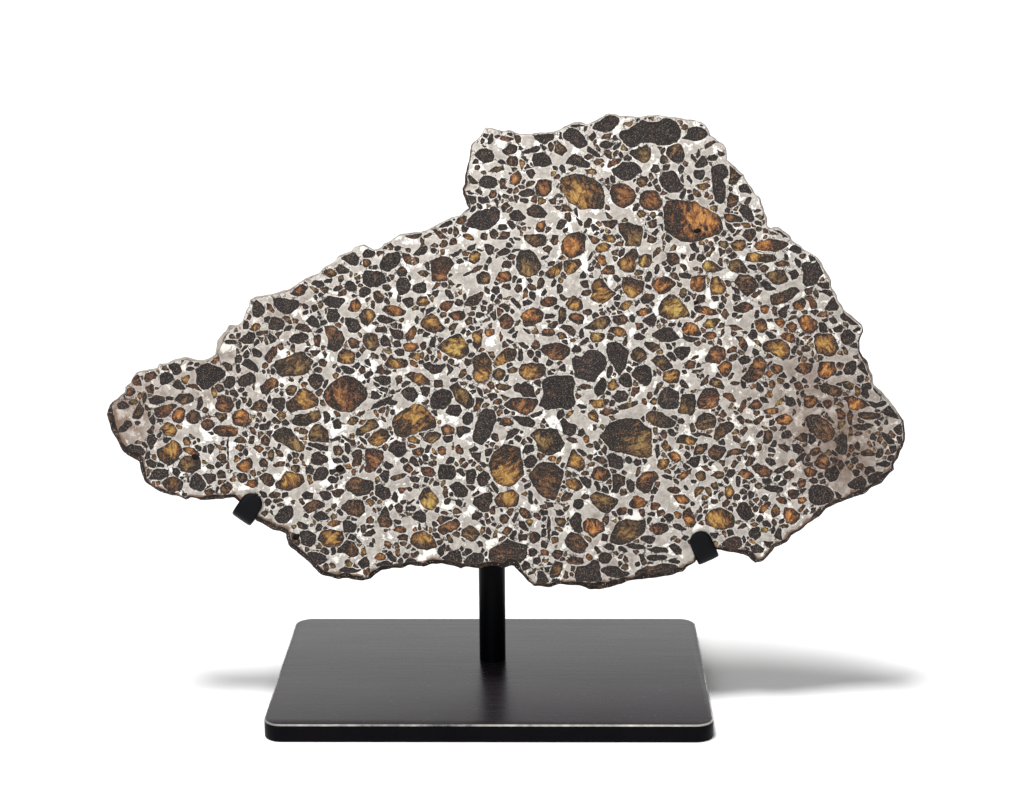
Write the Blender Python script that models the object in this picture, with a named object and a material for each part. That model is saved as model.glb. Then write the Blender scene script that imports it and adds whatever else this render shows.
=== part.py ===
"""A cut pallasite meteorite slice, held on a small black steel stand.

The slice leans back on the top of a round post and sits in two flat hooks. The hooks are the
flattened ends of round arms, which are brazed to the post. The post stands in a flat plate.
Origin: centre of the plate's underside. +Z is up and the slice's show face looks along -Y.
"""

import math

import bmesh
import bpy
from mathutils import Matrix, Vector, geometry, noise

MM = 0.001
GAP = 0.3 * MM

# Plate: a piece of flat bar, 6 x 4 x 1/4 inch
PLATE_WIDTH = 152.4 * MM
PLATE_DEPTH = 101.6 * MM
PLATE_THICK = 6.35 * MM
PLATE_CORNER = 6.3 * MM
PLATE_EDGE = 0.5 * MM
CORNER_STEPS = 8
SOCKET_DEPTH = 3.2 * MM

# Post: 3/8 inch round bar, set back of the plate's middle
POST_RADIUS = 4.76 * MM
POST_BACK = 10.0 * MM
POST_TOP = 135.0 * MM
POST_ROUND = 1.2 * MM
POST_SIDES = 32

# Slice
SLICE_THICK = 4.5 * MM
LEAN = math.radians(11.0)
OUTLINE_STEP = 2.1 * MM
CHIP_SIZE = 3.2 * MM
CHIP_DEPTH = 0.35 * MM
CRUST_BULGE = 0.25 * MM

# Arms: round bar, flattened where it hooks round the slice's lower edge
ARM_RADIUS = 2.0 * MM
ARM_HEIGHT = 88.0 * MM
STRAP_HALF_WIDTH = 3.95 * MM
STRAP_HALF_THICK = 0.8 * MM
HOOK_CLEAR = 0.45 * MM
ARM_CLEAR = 0.7 * MM
RING_POINTS = 14
TIP_LENGTH = 3.9 * MM

# The slice's own directions: across, up its face, and out of its show face
ACROSS = Vector((1, 0, 0))
UP = Vector((0, math.sin(LEAN), math.cos(LEAN)))
OUT = Vector((0, -math.cos(LEAN), math.sin(LEAN)))
REST = Vector((0, POST_BACK - POST_RADIUS - GAP, POST_TOP))
FACE = REST + OUT * SLICE_THICK
FACE_START = FACE - UP * (FACE.z / UP.z)

# Outline of the slice from its left end, clockwise: mm across, mm up the face, and mm of rough
# crust between the cut face and the outermost edge
OUTLINE = [
    (-133.0, 104.4, 2.6), (-132.2, 107.7, 1.6), (-131.0, 108.9, 0.5), (-129.0, 109.9, 0.4),
    (-128.3, 110.9, 0.4), (-126.3, 112.3, 0.4), (-126.1, 114.2, 0.4), (-124.4, 115.7, 0.4),
    (-124.1, 117.2, 0.4), (-122.5, 119.2, 0.4), (-120.2, 119.8, 0.4), (-117.0, 120.1, 0.4),
    (-114.8, 120.6, 0.4), (-114.4, 122.2, 0.4), (-112.0, 122.0, 0.4), (-109.8, 123.2, 0.5),
    (-108.1, 123.9, 0.6), (-105.7, 124.4, 0.6), (-99.2, 123.2, 0.5), (-97.0, 123.8, 0.4),
    (-95.0, 125.2, 0.6), (-94.7, 127.0, 1.4), (-94.1, 129.7, 2.0), (-92.2, 133.0, 2.0),
    (-91.2, 133.5, 1.6), (-90.1, 135.3, 1.2), (-87.3, 135.2, 0.4), (-85.3, 136.5, 0.4),
    (-84.1, 140.1, 0.5), (-83.1, 141.8, 0.4), (-82.6, 144.2, 0.4), (-81.0, 145.0, 0.4),
    (-76.9, 145.7, 0.4), (-71.5, 147.1, 0.6), (-69.0, 147.7, 0.6), (-67.2, 148.7, 0.5),
    (-65.6, 150.2, 0.5), (-61.4, 152.3, 0.4), (-58.9, 153.1, 0.4), (-56.9, 155.3, 0.5),
    (-54.5, 156.5, 0.5), (-51.7, 159.3, 0.5), (-49.2, 160.2, 0.5), (-47.4, 161.0, 0.5),
    (-46.8, 162.1, 0.4), (-44.8, 162.7, 0.4), (-42.6, 163.0, 0.4), (-39.2, 161.3, 0.4),
    (-37.2, 161.7, 0.4), (-36.0, 163.4, 0.4), (-34.2, 164.2, 0.4), (-30.8, 166.4, 0.4),
    (-23.9, 167.5, 0.4), (-20.8, 168.3, 0.5), (-16.8, 170.4, 0.4), (-14.4, 171.6, 0.4),
    (-11.4, 172.8, 0.4), (-9.8, 173.0, 0.5), (-8.5, 174.0, 0.5), (-6.6, 175.4, 0.6),
    (-7.4, 176.9, 0.8), (-8.0, 178.6, 0.9), (-8.9, 180.2, 0.9), (-8.9, 182.2, 0.6),
    (-8.0, 183.5, 0.7), (-8.1, 186.8, 0.8), (-7.0, 191.0, 0.5), (-6.4, 193.2, 0.5),
    (-5.8, 197.3, 0.5), (-4.6, 198.2, 0.4), (-3.1, 199.8, 0.4), (-0.9, 203.2, 0.4),
    (1.1, 202.9, 0.5), (4.7, 202.0, 0.4), (7.1, 202.0, 0.4), (10.7, 200.9, 0.4),
    (13.5, 200.7, 0.4), (19.1, 201.3, 0.4), (22.7, 201.5, 0.4), (24.7, 202.4, 0.4),
    (27.1, 203.6, 0.5), (28.7, 204.6, 0.5), (31.5, 204.7, 0.5), (33.8, 204.2, 0.5),
    (37.4, 205.4, 0.5), (39.2, 206.6, 0.5), (40.6, 207.7, 0.5), (43.8, 207.7, 0.5),
    (44.8, 206.7, 0.4), (52.6, 206.5, 0.4), (57.5, 207.3, 0.4), (59.9, 206.8, 0.4),
    (65.1, 206.0, 0.5), (68.3, 205.4, 0.4), (71.1, 205.3, 0.4), (73.1, 204.7, 0.4),
    (74.7, 203.3, 0.5), (75.7, 201.5, 0.5), (76.1, 200.1, 0.4), (78.5, 198.4, 0.5),
    (80.7, 197.1, 0.5), (81.6, 195.7, 0.5), (82.0, 191.9, 0.6), (83.5, 190.7, 0.8),
    (86.5, 187.7, 0.8), (87.9, 186.6, 0.7), (88.0, 185.2, 0.6), (90.1, 182.7, 0.6),
    (91.5, 179.9, 0.5), (93.4, 178.8, 0.6), (93.7, 176.7, 0.6), (95.5, 172.7, 0.8),
    (95.9, 168.8, 0.6), (97.2, 168.3, 0.5), (98.2, 168.8, 0.6), (100.2, 168.5, 0.8),
    (103.5, 165.7, 0.6), (104.1, 164.0, 0.6), (107.6, 162.2, 0.5), (108.3, 161.0, 0.4),
    (110.2, 160.0, 0.3), (113.0, 158.2, 0.3), (114.2, 156.8, 0.8), (115.4, 154.6, 0.9),
    (116.6, 152.0, 0.8), (117.7, 150.6, 0.6), (118.1, 147.8, 0.8), (120.0, 144.9, 0.8),
    (120.2, 143.3, 0.7), (122.7, 139.9, 0.8), (127.4, 136.1, 0.7), (128.6, 134.9, 0.5),
    (128.9, 132.8, 0.4), (127.6, 129.4, 0.5), (127.9, 126.0, 0.8), (128.8, 124.4, 1.0),
    (130.4, 122.5, 1.2), (131.4, 119.3, 1.2), (132.2, 117.9, 1.0), (132.6, 114.6, 0.8),
    (136.8, 110.6, 1.0), (140.5, 106.0, 0.9), (143.0, 102.0, 0.8), (143.8, 97.5, 1.0),
    (143.6, 95.1, 0.7), (142.2, 91.4, 1.2), (141.5, 88.6, 1.2), (139.8, 86.6, 1.0),
    (139.9, 84.8, 1.0), (138.3, 83.2, 1.1), (135.1, 79.9, 1.2), (132.1, 78.3, 1.2),
    (130.3, 76.7, 1.2), (124.7, 74.7, 1.2), (122.7, 74.1, 0.8), (119.9, 72.8, 1.0),
    (116.7, 71.6, 1.0), (114.4, 68.4, 0.5), (113.1, 68.1, 0.6), (110.1, 65.9, 0.5),
    (108.7, 64.5, 0.4), (104.3, 61.9, 0.6), (103.1, 60.0, 0.9), (101.1, 58.6, 1.0),
    (99.1, 58.1, 1.0), (98.5, 56.8, 0.8), (96.5, 54.6, 0.6), (94.3, 53.1, 0.5),
    (92.1, 52.3, 0.6), (90.9, 53.3, 1.0), (90.1, 54.6, 1.3), (88.8, 55.4, 1.3),
    (83.6, 56.1, 0.8), (80.1, 57.0, 0.5), (77.9, 57.4, 0.5), (75.6, 56.4, 0.5),
    (72.5, 54.9, 0.5), (71.3, 52.9, 0.4), (68.3, 50.5, 0.4), (67.3, 49.6, 0.4),
    (65.1, 49.3, 0.5), (62.3, 48.0, 0.8), (57.5, 47.2, 1.0), (52.6, 46.7, 1.2),
    (47.0, 45.7, 1.2), (42.2, 43.9, 1.5), (38.2, 43.4, 2.0), (34.6, 43.2, 2.0),
    (31.0, 44.5, 1.4), (27.0, 44.7, 0.6), (24.6, 45.0, 0.5), (20.8, 43.9, 0.5),
    (17.4, 44.5, 0.5), (15.5, 44.3, 0.5), (13.3, 45.8, 0.4), (12.3, 47.2, 0.7),
    (10.1, 49.3, 1.2), (8.1, 51.6, 2.0), (6.9, 51.2, 2.2), (5.3, 50.8, 1.6),
    (2.9, 51.1, 1.0), (-0.3, 51.5, 0.9), (-3.5, 50.6, 0.9), (-9.0, 51.1, 1.0),
    (-10.0, 50.6, 1.0), (-14.0, 51.8, 1.0), (-19.8, 52.4, 0.8), (-22.8, 51.3, 0.6),
    (-27.8, 51.8, 0.8), (-31.4, 50.8, 0.7), (-37.7, 50.1, 1.0), (-39.5, 48.8, 1.0),
    (-40.9, 47.6, 0.7), (-41.7, 46.6, 0.8), (-43.9, 46.2, 0.8), (-47.6, 46.6, 1.2),
    (-49.6, 47.2, 1.4), (-53.3, 47.0, 1.0), (-57.7, 48.0, 1.2), (-59.7, 49.0, 1.4),
    (-62.9, 52.5, 1.5), (-67.3, 56.5, 1.2), (-69.3, 57.8, 1.2), (-70.4, 59.1, 1.4),
    (-70.8, 61.4, 1.5), (-70.7, 62.8, 1.3), (-74.8, 64.0, 1.4), (-79.6, 66.6, 1.5),
    (-81.2, 67.3, 1.0), (-83.6, 70.4, 0.6), (-86.2, 73.2, 0.6), (-88.7, 75.6, 0.6),
    (-93.5, 74.8, 0.8), (-99.6, 74.5, 0.8), (-103.6, 75.6, 0.4), (-105.6, 74.6, 0.3),
    (-108.9, 76.0, 0.5), (-113.7, 77.0, 0.4), (-117.7, 79.1, 0.4), (-120.3, 81.3, 1.2),
    (-121.6, 86.3, 1.6), (-122.0, 88.2, 1.5), (-125.4, 89.9, 1.2), (-127.4, 91.5, 1.4),
    (-128.8, 93.7, 1.8), (-130.9, 98.0, 2.0), (-132.1, 100.4, 2.4),
]

# Pits where a crystal has dropped out of the show face: mm across, mm up the face, half length,
# half breadth, turn in degrees, depth
PITS = [
    (-51.9, 85.6, 1.7, 1.5, 0, 1.2),
    (-67.2, 61.8, 1.5, 1.1, 40, 1.3),
    (-101.9, 89.6, 1.6, 1.0, -20, 1.0),
    (71.7, 167.4, 1.3, 0.9, 10, 1.2),
    (71.4, 142.9, 1.2, 0.8, 30, 1.0),
]
PIT_SIDES = 10
PIT_FLOOR = 0.7

# Hooks: middle of the strap's lowest line on the show face (mm across, mm up), the way the
# strap points up the face, and how far its rounded tip is from that line
LEFT_HOOK = {"foot": (-86.8, 67.4), "toward": (0.57, 0.82), "length": 11.3}
RIGHT_HOOK = {"foot": (76.3, 53.05), "toward": (-0.41, 0.91), "length": 11.7}
# Routes of the arms' round part, from the hook to the post: mm across, mm up the face, and mm
# further behind the slice than ARM_CLEAR
LEFT_ROUTE = [(-72.5, 88.0, 0.2), (-62.0, 95.0, 0.2), (-46.0, 97.0, 1.0), (-28.0, 94.5, 4.0)]
RIGHT_ROUTE = [(67.6, 72.5, 0.2), (62.0, 82.0, 0.2), (50.0, 88.5, 0.6), (28.0, 91.0, 4.0)]


def slice_point(across, up, out=0.0):
    """A point given in metres across, up and out of the show face, in the object's frame."""
    return FACE_START + ACROSS * across + UP * up + OUT * out


def clear_scene():
    for obj in list(bpy.data.objects):
        bpy.data.objects.remove(obj, do_unlink=True)


def make_material(name, colour, roughness, metallic):
    material = bpy.data.materials.new(name)
    material.use_nodes = True
    shader = material.node_tree.nodes["Principled BSDF"]
    shader.inputs["Base Color"].default_value = (*colour, 1.0)
    shader.inputs["Roughness"].default_value = roughness
    shader.inputs["Metallic"].default_value = metallic
    return material


def make_object(name, bm, material, smooth_below=40.0):
    bmesh.ops.recalc_face_normals(bm, faces=bm.faces)
    mesh = bpy.data.meshes.new(name)
    bm.to_mesh(mesh)
    bm.free()
    mesh.shade_smooth()
    mesh.set_sharp_from_angle(angle=math.radians(smooth_below))
    mesh.materials.append(material)
    obj = bpy.data.objects.new(name, mesh)
    bpy.context.scene.collection.objects.link(obj)
    return obj


def bridge_rings(bm, rings, close_ends=True):
    """Joins closed rings of points in order, and closes both ends with one face each."""
    made = [[bm.verts.new(point) for point in ring] for ring in rings]
    for lower, upper in zip(made, made[1:]):
        for i, vert in enumerate(lower):
            j = (i + 1) % len(lower)
            bm.faces.new((vert, lower[j], upper[j], upper[i]))
    if close_ends:
        bm.faces.new(made[0][::-1])
        bm.faces.new(made[-1])
    return made


def round_corners(half_width, half_depth, radius, z):
    """One ring of a rectangle with round corners, at height z."""
    ring = []
    for quarter, (sx, sy) in enumerate(((1, 1), (-1, 1), (-1, -1), (1, -1))):
        for step in range(CORNER_STEPS + 1):
            angle = math.radians(90 * (quarter + step / CORNER_STEPS))
            ring.append((sx * (half_width - radius) + radius * math.cos(angle),
                         sy * (half_depth - radius) + radius * math.sin(angle), z))
    return ring


def circle(radius, z, back=0.0, sides=POST_SIDES):
    turns = [2 * math.pi * i / sides for i in range(sides)]
    return [(radius * math.cos(turn), back + radius * math.sin(turn), z) for turn in turns]


def build_plate(material):
    bm = bmesh.new()
    levels = ((PLATE_EDGE, 0.0), (0.0, PLATE_EDGE), (0.0, PLATE_THICK - PLATE_EDGE), (PLATE_EDGE, PLATE_THICK))
    bridge_rings(bm, [round_corners(PLATE_WIDTH / 2 - inset, PLATE_DEPTH / 2 - inset,
                                    PLATE_CORNER - inset, z) for inset, z in levels])
    plate = make_object("base_plate", bm, material)
    bm = bmesh.new()
    radius = POST_RADIUS + GAP
    bridge_rings(bm, [circle(radius, PLATE_THICK - SOCKET_DEPTH, POST_BACK),
                      circle(radius, PLATE_THICK + SOCKET_DEPTH, POST_BACK)])
    cutter = make_object("post_socket_cutter", bm, material)
    cutter.hide_render = True
    cutter.display_type = "WIRE"
    socket = plate.modifiers.new("post socket", "BOOLEAN")
    socket.operation = "DIFFERENCE"
    socket.solver = "EXACT"
    socket.object = cutter


def build_post(material):
    foot = PLATE_THICK - SOCKET_DEPTH + GAP
    rings = [circle(POST_RADIUS, foot, POST_BACK)]
    for step in range(4):
        angle = math.radians(30 * step)
        rings.append(circle(POST_RADIUS - POST_ROUND * (1 - math.cos(angle)),
                            POST_TOP - POST_ROUND * (1 - math.sin(angle)), POST_BACK))
    bm = bmesh.new()
    bridge_rings(bm, rings)
    make_object("post", bm, material)


def resample(points, step):
    """Even steps round a closed line of (across, up, crust), straight from point to point."""
    spans = [math.dist(a[:2], b[:2]) for a, b in zip(points, points[1:] + points[:1])]
    total = sum(spans)
    count = round(total / step)
    found, index, passed = [], 0, 0.0
    for i in range(count):
        along = total * i / count
        while passed + spans[index] < along:
            passed += spans[index]
            index += 1
        part = (along - passed) / spans[index]
        a, b = points[index], points[(index + 1) % len(points)]
        found.append(tuple(p + (q - p) * part for p, q in zip(a, b)))
    return found


def inward(points, i, reach=2):
    """Unit direction into a clockwise outline at point i, from its neighbours each way."""
    ahead = points[(i + reach) % len(points)]
    behind = points[i - reach]
    along = Vector((ahead[0] - behind[0], ahead[1] - behind[1])).normalized()
    return Vector((along.y, -along.x))


def slice_rings():
    """The slice's five rings, front to back, as lists of (across, up, out)."""
    metres = [(x * MM, y * MM, crust * MM) for x, y, crust in OUTLINE]
    points = resample(metres, OUTLINE_STEP)
    # share of the crust's width taken in, and depth as a share of the thickness
    profile = ((1.0, 0.0), (0.45, 0.12), (0.0, 0.5), (0.4, 0.88), (0.95, 1.0))
    rings = []
    for number, (share, depth) in enumerate(profile):
        ring = []
        for i, (x, y, crust) in enumerate(points):
            chip = noise.noise(Vector((x, y, number * CHIP_SIZE)) / CHIP_SIZE)
            swell = CRUST_BULGE * math.sin(math.pi * depth)
            take = crust * share - swell + CHIP_DEPTH * (0.5 + chip) * (0.4 + math.sin(math.pi * depth))
            inner = Vector((x, y)) + inward(points, i) * take
            ring.append((inner.x, inner.y, -depth * SLICE_THICK))
        rings.append(ring)
    return rings


def pit_ring(pit, share=1.0):
    """Points (across, up) round a pit, or round its floor when share is below 1."""
    x, y, half_length, half_breadth, turn, _ = pit
    turned = Matrix.Rotation(math.radians(turn), 2)
    ring = []
    for i in range(PIT_SIDES):
        angle = 2 * math.pi * i / PIT_SIDES
        uneven = share * (1 + 0.3 * noise.noise(Vector((x + math.cos(angle), y + math.sin(angle), 0))))
        spot = turned @ Vector((half_length * math.cos(angle), half_breadth * math.sin(angle)))
        ring.append((Vector((x, y)) + spot * uneven) * MM)
    return ring


def fill_face(bm, loops, facing_out):
    """Triangulates a flat face between its edge (first loop) and its holes (the other loops)."""
    flat = [Vector((x, y)) for loop in loops for x, y, _ in loop]
    edges, start = [], 0
    for loop in loops:
        edges += [(start + i, start + (i + 1) % len(loop)) for i in range(len(loop))]
        start += len(loop)
    spots, _, faces, origins, _, _ = geometry.delaunay_2d_cdt(flat, edges, [], 1, 1e-7)
    verts = [vert for loop in loops for _, _, vert in loop]
    holes = [[(x, y) for x, y, _ in loop] for loop in loops[1:]]
    for face in faces:
        centre = sum((spots[i] for i in face), Vector((0, 0))) / len(face)
        if any(inside(centre, hole) for hole in holes):
            continue
        corners = [verts[origins[i][0]] for i in face]
        bm.faces.new(corners if facing_out else corners[::-1])


def inside(spot, loop):
    """Whether a point is in a closed loop of (x, y)."""
    crossings = 0
    for (ax, ay), (bx, by) in zip(loop, loop[1:] + loop[:1]):
        if (ay > spot[1]) != (by > spot[1]) and spot[0] < ax + (bx - ax) * (spot[1] - ay) / (by - ay):
            crossings += 1
    return crossings % 2 == 1


def build_slice(material):
    bm = bmesh.new()
    rings = slice_rings()
    made = bridge_rings(bm, [[slice_point(*point) for point in ring] for ring in rings], close_ends=False)
    front = [(x, y, vert) for (x, y, _), vert in zip(rings[0], made[0])]
    back = [(x, y, vert) for (x, y, _), vert in zip(rings[-1], made[-1])]
    mouths = []
    for pit in PITS:
        mouth = pit_ring(pit)
        floor = pit_ring(pit, PIT_FLOOR)
        top = [bm.verts.new(slice_point(x, y)) for x, y in mouth]
        base = [bm.verts.new(slice_point(x, y, -pit[-1] * MM)) for x, y in floor]
        for i, vert in enumerate(top):
            j = (i + 1) % len(top)
            bm.faces.new((vert, top[j], base[j], base[i]))
        bm.faces.new(base)
        mouths.append([(x, y, vert) for (x, y), vert in zip(mouth, top)])
    fill_face(bm, [front] + mouths, True)
    fill_face(bm, [back], False)
    make_object("pallasite_slice", bm, material, smooth_below=30.0)


def smooth_route(points, steps):
    """Points of a smooth curve through the given ones, with this many steps from one to the next."""
    padded = [2 * points[0] - points[1]] + points + [2 * points[-1] - points[-2]]
    route = []
    for a, b, c, d in zip(padded, padded[1:], padded[2:], padded[3:]):
        for step in range(steps):
            t = step / steps
            route.append(0.5 * (2 * b + (c - a) * t + (2 * a - 5 * b + 4 * c - d) * t * t
                                + (3 * b - a - 3 * c + d) * t ** 3))
    return route + [points[-1]]


def strap_stations(hook):
    """The hook's stations from behind the slice, under its edge and up its face to the rounded tip.

    Each is (distance up from the foot line, out of the face, half width, half thickness, squareness).
    """
    middle = -SLICE_THICK / 2
    bend = SLICE_THICK / 2 + HOOK_CLEAR + STRAP_HALF_THICK
    centre = bend + STRAP_HALF_THICK
    strap = (STRAP_HALF_WIDTH, STRAP_HALF_THICK, 0.45)
    found = [(14.0 * MM, middle - bend - 0.65 * MM, 3.2 * MM, 1.25 * MM, 0.8),
             (10.0 * MM, middle - bend - 0.1 * MM, 3.8 * MM, 0.88 * MM, 0.6),
             (7.0 * MM, middle - bend, *strap)]
    for step in range(9):
        angle = math.pi * step / 8
        found.append((centre - bend * math.sin(angle), middle - bend * math.cos(angle), *strap))
    shoulder = hook["length"] * MM - TIP_LENGTH
    found.append((shoulder, middle + bend, *strap))
    for step in range(1, 7):
        angle = math.radians(14 * step)
        width = STRAP_HALF_WIDTH * math.cos(angle)
        found.append((shoulder + TIP_LENGTH * math.sin(angle), middle + bend, width, STRAP_HALF_THICK, 0.45))
    return found


def ring_round(centre, tangent, width_way, half_width, half_thick, squareness):
    thick_way = width_way.cross(tangent).normalized()
    ring = []
    for i in range(RING_POINTS):
        angle = 2 * math.pi * i / RING_POINTS
        c, s = math.cos(angle), math.sin(angle)
        wide = half_width * math.copysign(abs(c) ** squareness, c)
        thick = half_thick * math.copysign(abs(s) ** squareness, s)
        ring.append(centre + width_way * wide + thick_way * thick)
    return ring


def build_arm(name, hook, route, side, material):
    """One arm, from its coped end on the post to the tip of its hook. side is -1 left, 1 right."""
    foot = Vector(hook["foot"]) * MM
    toward = Vector(hook["toward"]).normalized()
    edge_way = ACROSS * toward.y - UP * toward.x
    seat = POST_RADIUS + GAP
    depth = -SLICE_THICK - ARM_CLEAR - ARM_RADIUS

    def on_strap(along, out):
        spot = foot + toward * along
        return slice_point(spot.x, spot.y, out)

    bar = [Vector((side * seat, POST_BACK, ARM_HEIGHT)), Vector((side * 2.6 * seat, POST_BACK, ARM_HEIGHT))]
    bar += [slice_point(x * MM, y * MM, depth - behind * MM) for x, y, behind in reversed(route)]
    bar += [on_strap(19.0 * MM, depth)]
    strap = strap_stations(hook)
    bar = smooth_route(bar, 3)
    path = bar + [on_strap(along, out) for along, out, *_ in strap]
    sections = [(ARM_RADIUS, ARM_RADIUS, 1.0)] * len(bar) + [station[2:] for station in strap]
    rings = []
    for i, (centre, section) in enumerate(zip(path, sections)):
        tangent = (path[min(i + 1, len(path) - 1)] - path[max(i - 1, 0)]).normalized()
        width_way = edge_way if i >= len(bar) else OUT.cross(tangent).normalized()
        rings.append(ring_round(centre, tangent, width_way, *section))
    for point in rings[0]:
        point.x = side * math.sqrt(seat ** 2 - (point.y - POST_BACK) ** 2)
    bm = bmesh.new()
    made = bridge_rings(bm, rings, close_ends=False)
    middle = bm.verts.new(bar[0])
    for a, b in zip(made[0], made[0][1:] + made[0][:1]):
        bm.faces.new((b, a, middle))
    bm.faces.new(made[-1])
    make_object(name, bm, material)


def main():
    clear_scene()
    meteorite = make_material("cut pallasite", (0.46, 0.42, 0.37), 0.35, 0.4)
    black_steel = make_material("black satin steel", (0.012, 0.012, 0.014), 0.38, 0.6)
    build_slice(meteorite)
    build_plate(black_steel)
    build_post(black_steel)
    build_arm("left_arm", LEFT_HOOK, LEFT_ROUTE, -1, black_steel)
    build_arm("right_arm", RIGHT_HOOK, RIGHT_ROUTE, 1, black_steel)


main()
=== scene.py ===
"""Looks of a cut pallasite meteorite slice on its small black steel stand.

The slice's cut faces are one sheet of triangles each, split along the outlines of its olivine
crystals, so that metal and stone meet at crisp edges. Its rim is rough natural crust. Lengths in
the tables are millimetres, across and up the slice's leaning show face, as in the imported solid.
"""

import math
import random

import bmesh
import bpy
import numpy as np
from mathutils import Matrix, Vector, geometry, kdtree, noise

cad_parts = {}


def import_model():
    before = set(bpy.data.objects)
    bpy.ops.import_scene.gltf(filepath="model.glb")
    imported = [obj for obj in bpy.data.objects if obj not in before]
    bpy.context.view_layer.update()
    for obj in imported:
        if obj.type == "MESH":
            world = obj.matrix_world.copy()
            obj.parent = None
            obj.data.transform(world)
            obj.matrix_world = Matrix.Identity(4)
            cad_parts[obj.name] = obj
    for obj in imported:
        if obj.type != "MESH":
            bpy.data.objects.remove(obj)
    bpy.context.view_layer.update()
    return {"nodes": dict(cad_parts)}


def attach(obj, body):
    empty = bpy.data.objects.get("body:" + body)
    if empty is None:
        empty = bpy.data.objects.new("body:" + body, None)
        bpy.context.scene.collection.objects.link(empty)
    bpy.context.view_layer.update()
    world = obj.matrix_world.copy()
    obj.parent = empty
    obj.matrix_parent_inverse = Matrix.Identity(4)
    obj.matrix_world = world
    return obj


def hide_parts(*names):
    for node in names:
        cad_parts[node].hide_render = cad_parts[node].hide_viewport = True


MM = 0.001
SEED = 41

# Stand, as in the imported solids
PLATE_WIDTH = 152.4 * MM
PLATE_DEPTH = 101.6 * MM
PLATE_THICK = 6.35 * MM
PLATE_CORNER = 6.3 * MM
PLATE_EDGE = 0.5 * MM
POST_RADIUS = 4.76 * MM
POST_BACK = 10.0 * MM
POST_TOP = 135.0 * MM
SOCKET_GAP = 0.3 * MM

# Slice: its thickness, and its own directions across, up and out of the show face
SLICE_THICK = 4.5 * MM
LEAN = math.radians(11.0)
ACROSS = Vector((1, 0, 0))
UP = Vector((0, math.sin(LEAN), math.cos(LEAN)))
OUT = Vector((0, -math.cos(LEAN), math.sin(LEAN)))
REST = Vector((0, POST_BACK - POST_RADIUS - SOCKET_GAP, POST_TOP))
FACE = REST + OUT * SLICE_THICK
FACE_START = FACE - UP * (FACE.z / UP.z)

# Steps of the slice's mesh, in mm
RIM_STEP = 0.9
CRYSTAL_STEP = 0.85
METAL_STEP = 1.4
BACK_COARSER = 2.3
VEIN = 0.26
RIM_VEIN = 0.2

# Camera of the photograph
CAMERA_PLACE = Vector((20.6, -692.6, 284.8)) * MM
CAMERA_DOWN = math.radians(14.468)
CAMERA_LEFT = math.radians(1.055)
CAMERA_ROLL = math.radians(-0.371)
CAMERA_LENS = 72.306

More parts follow.
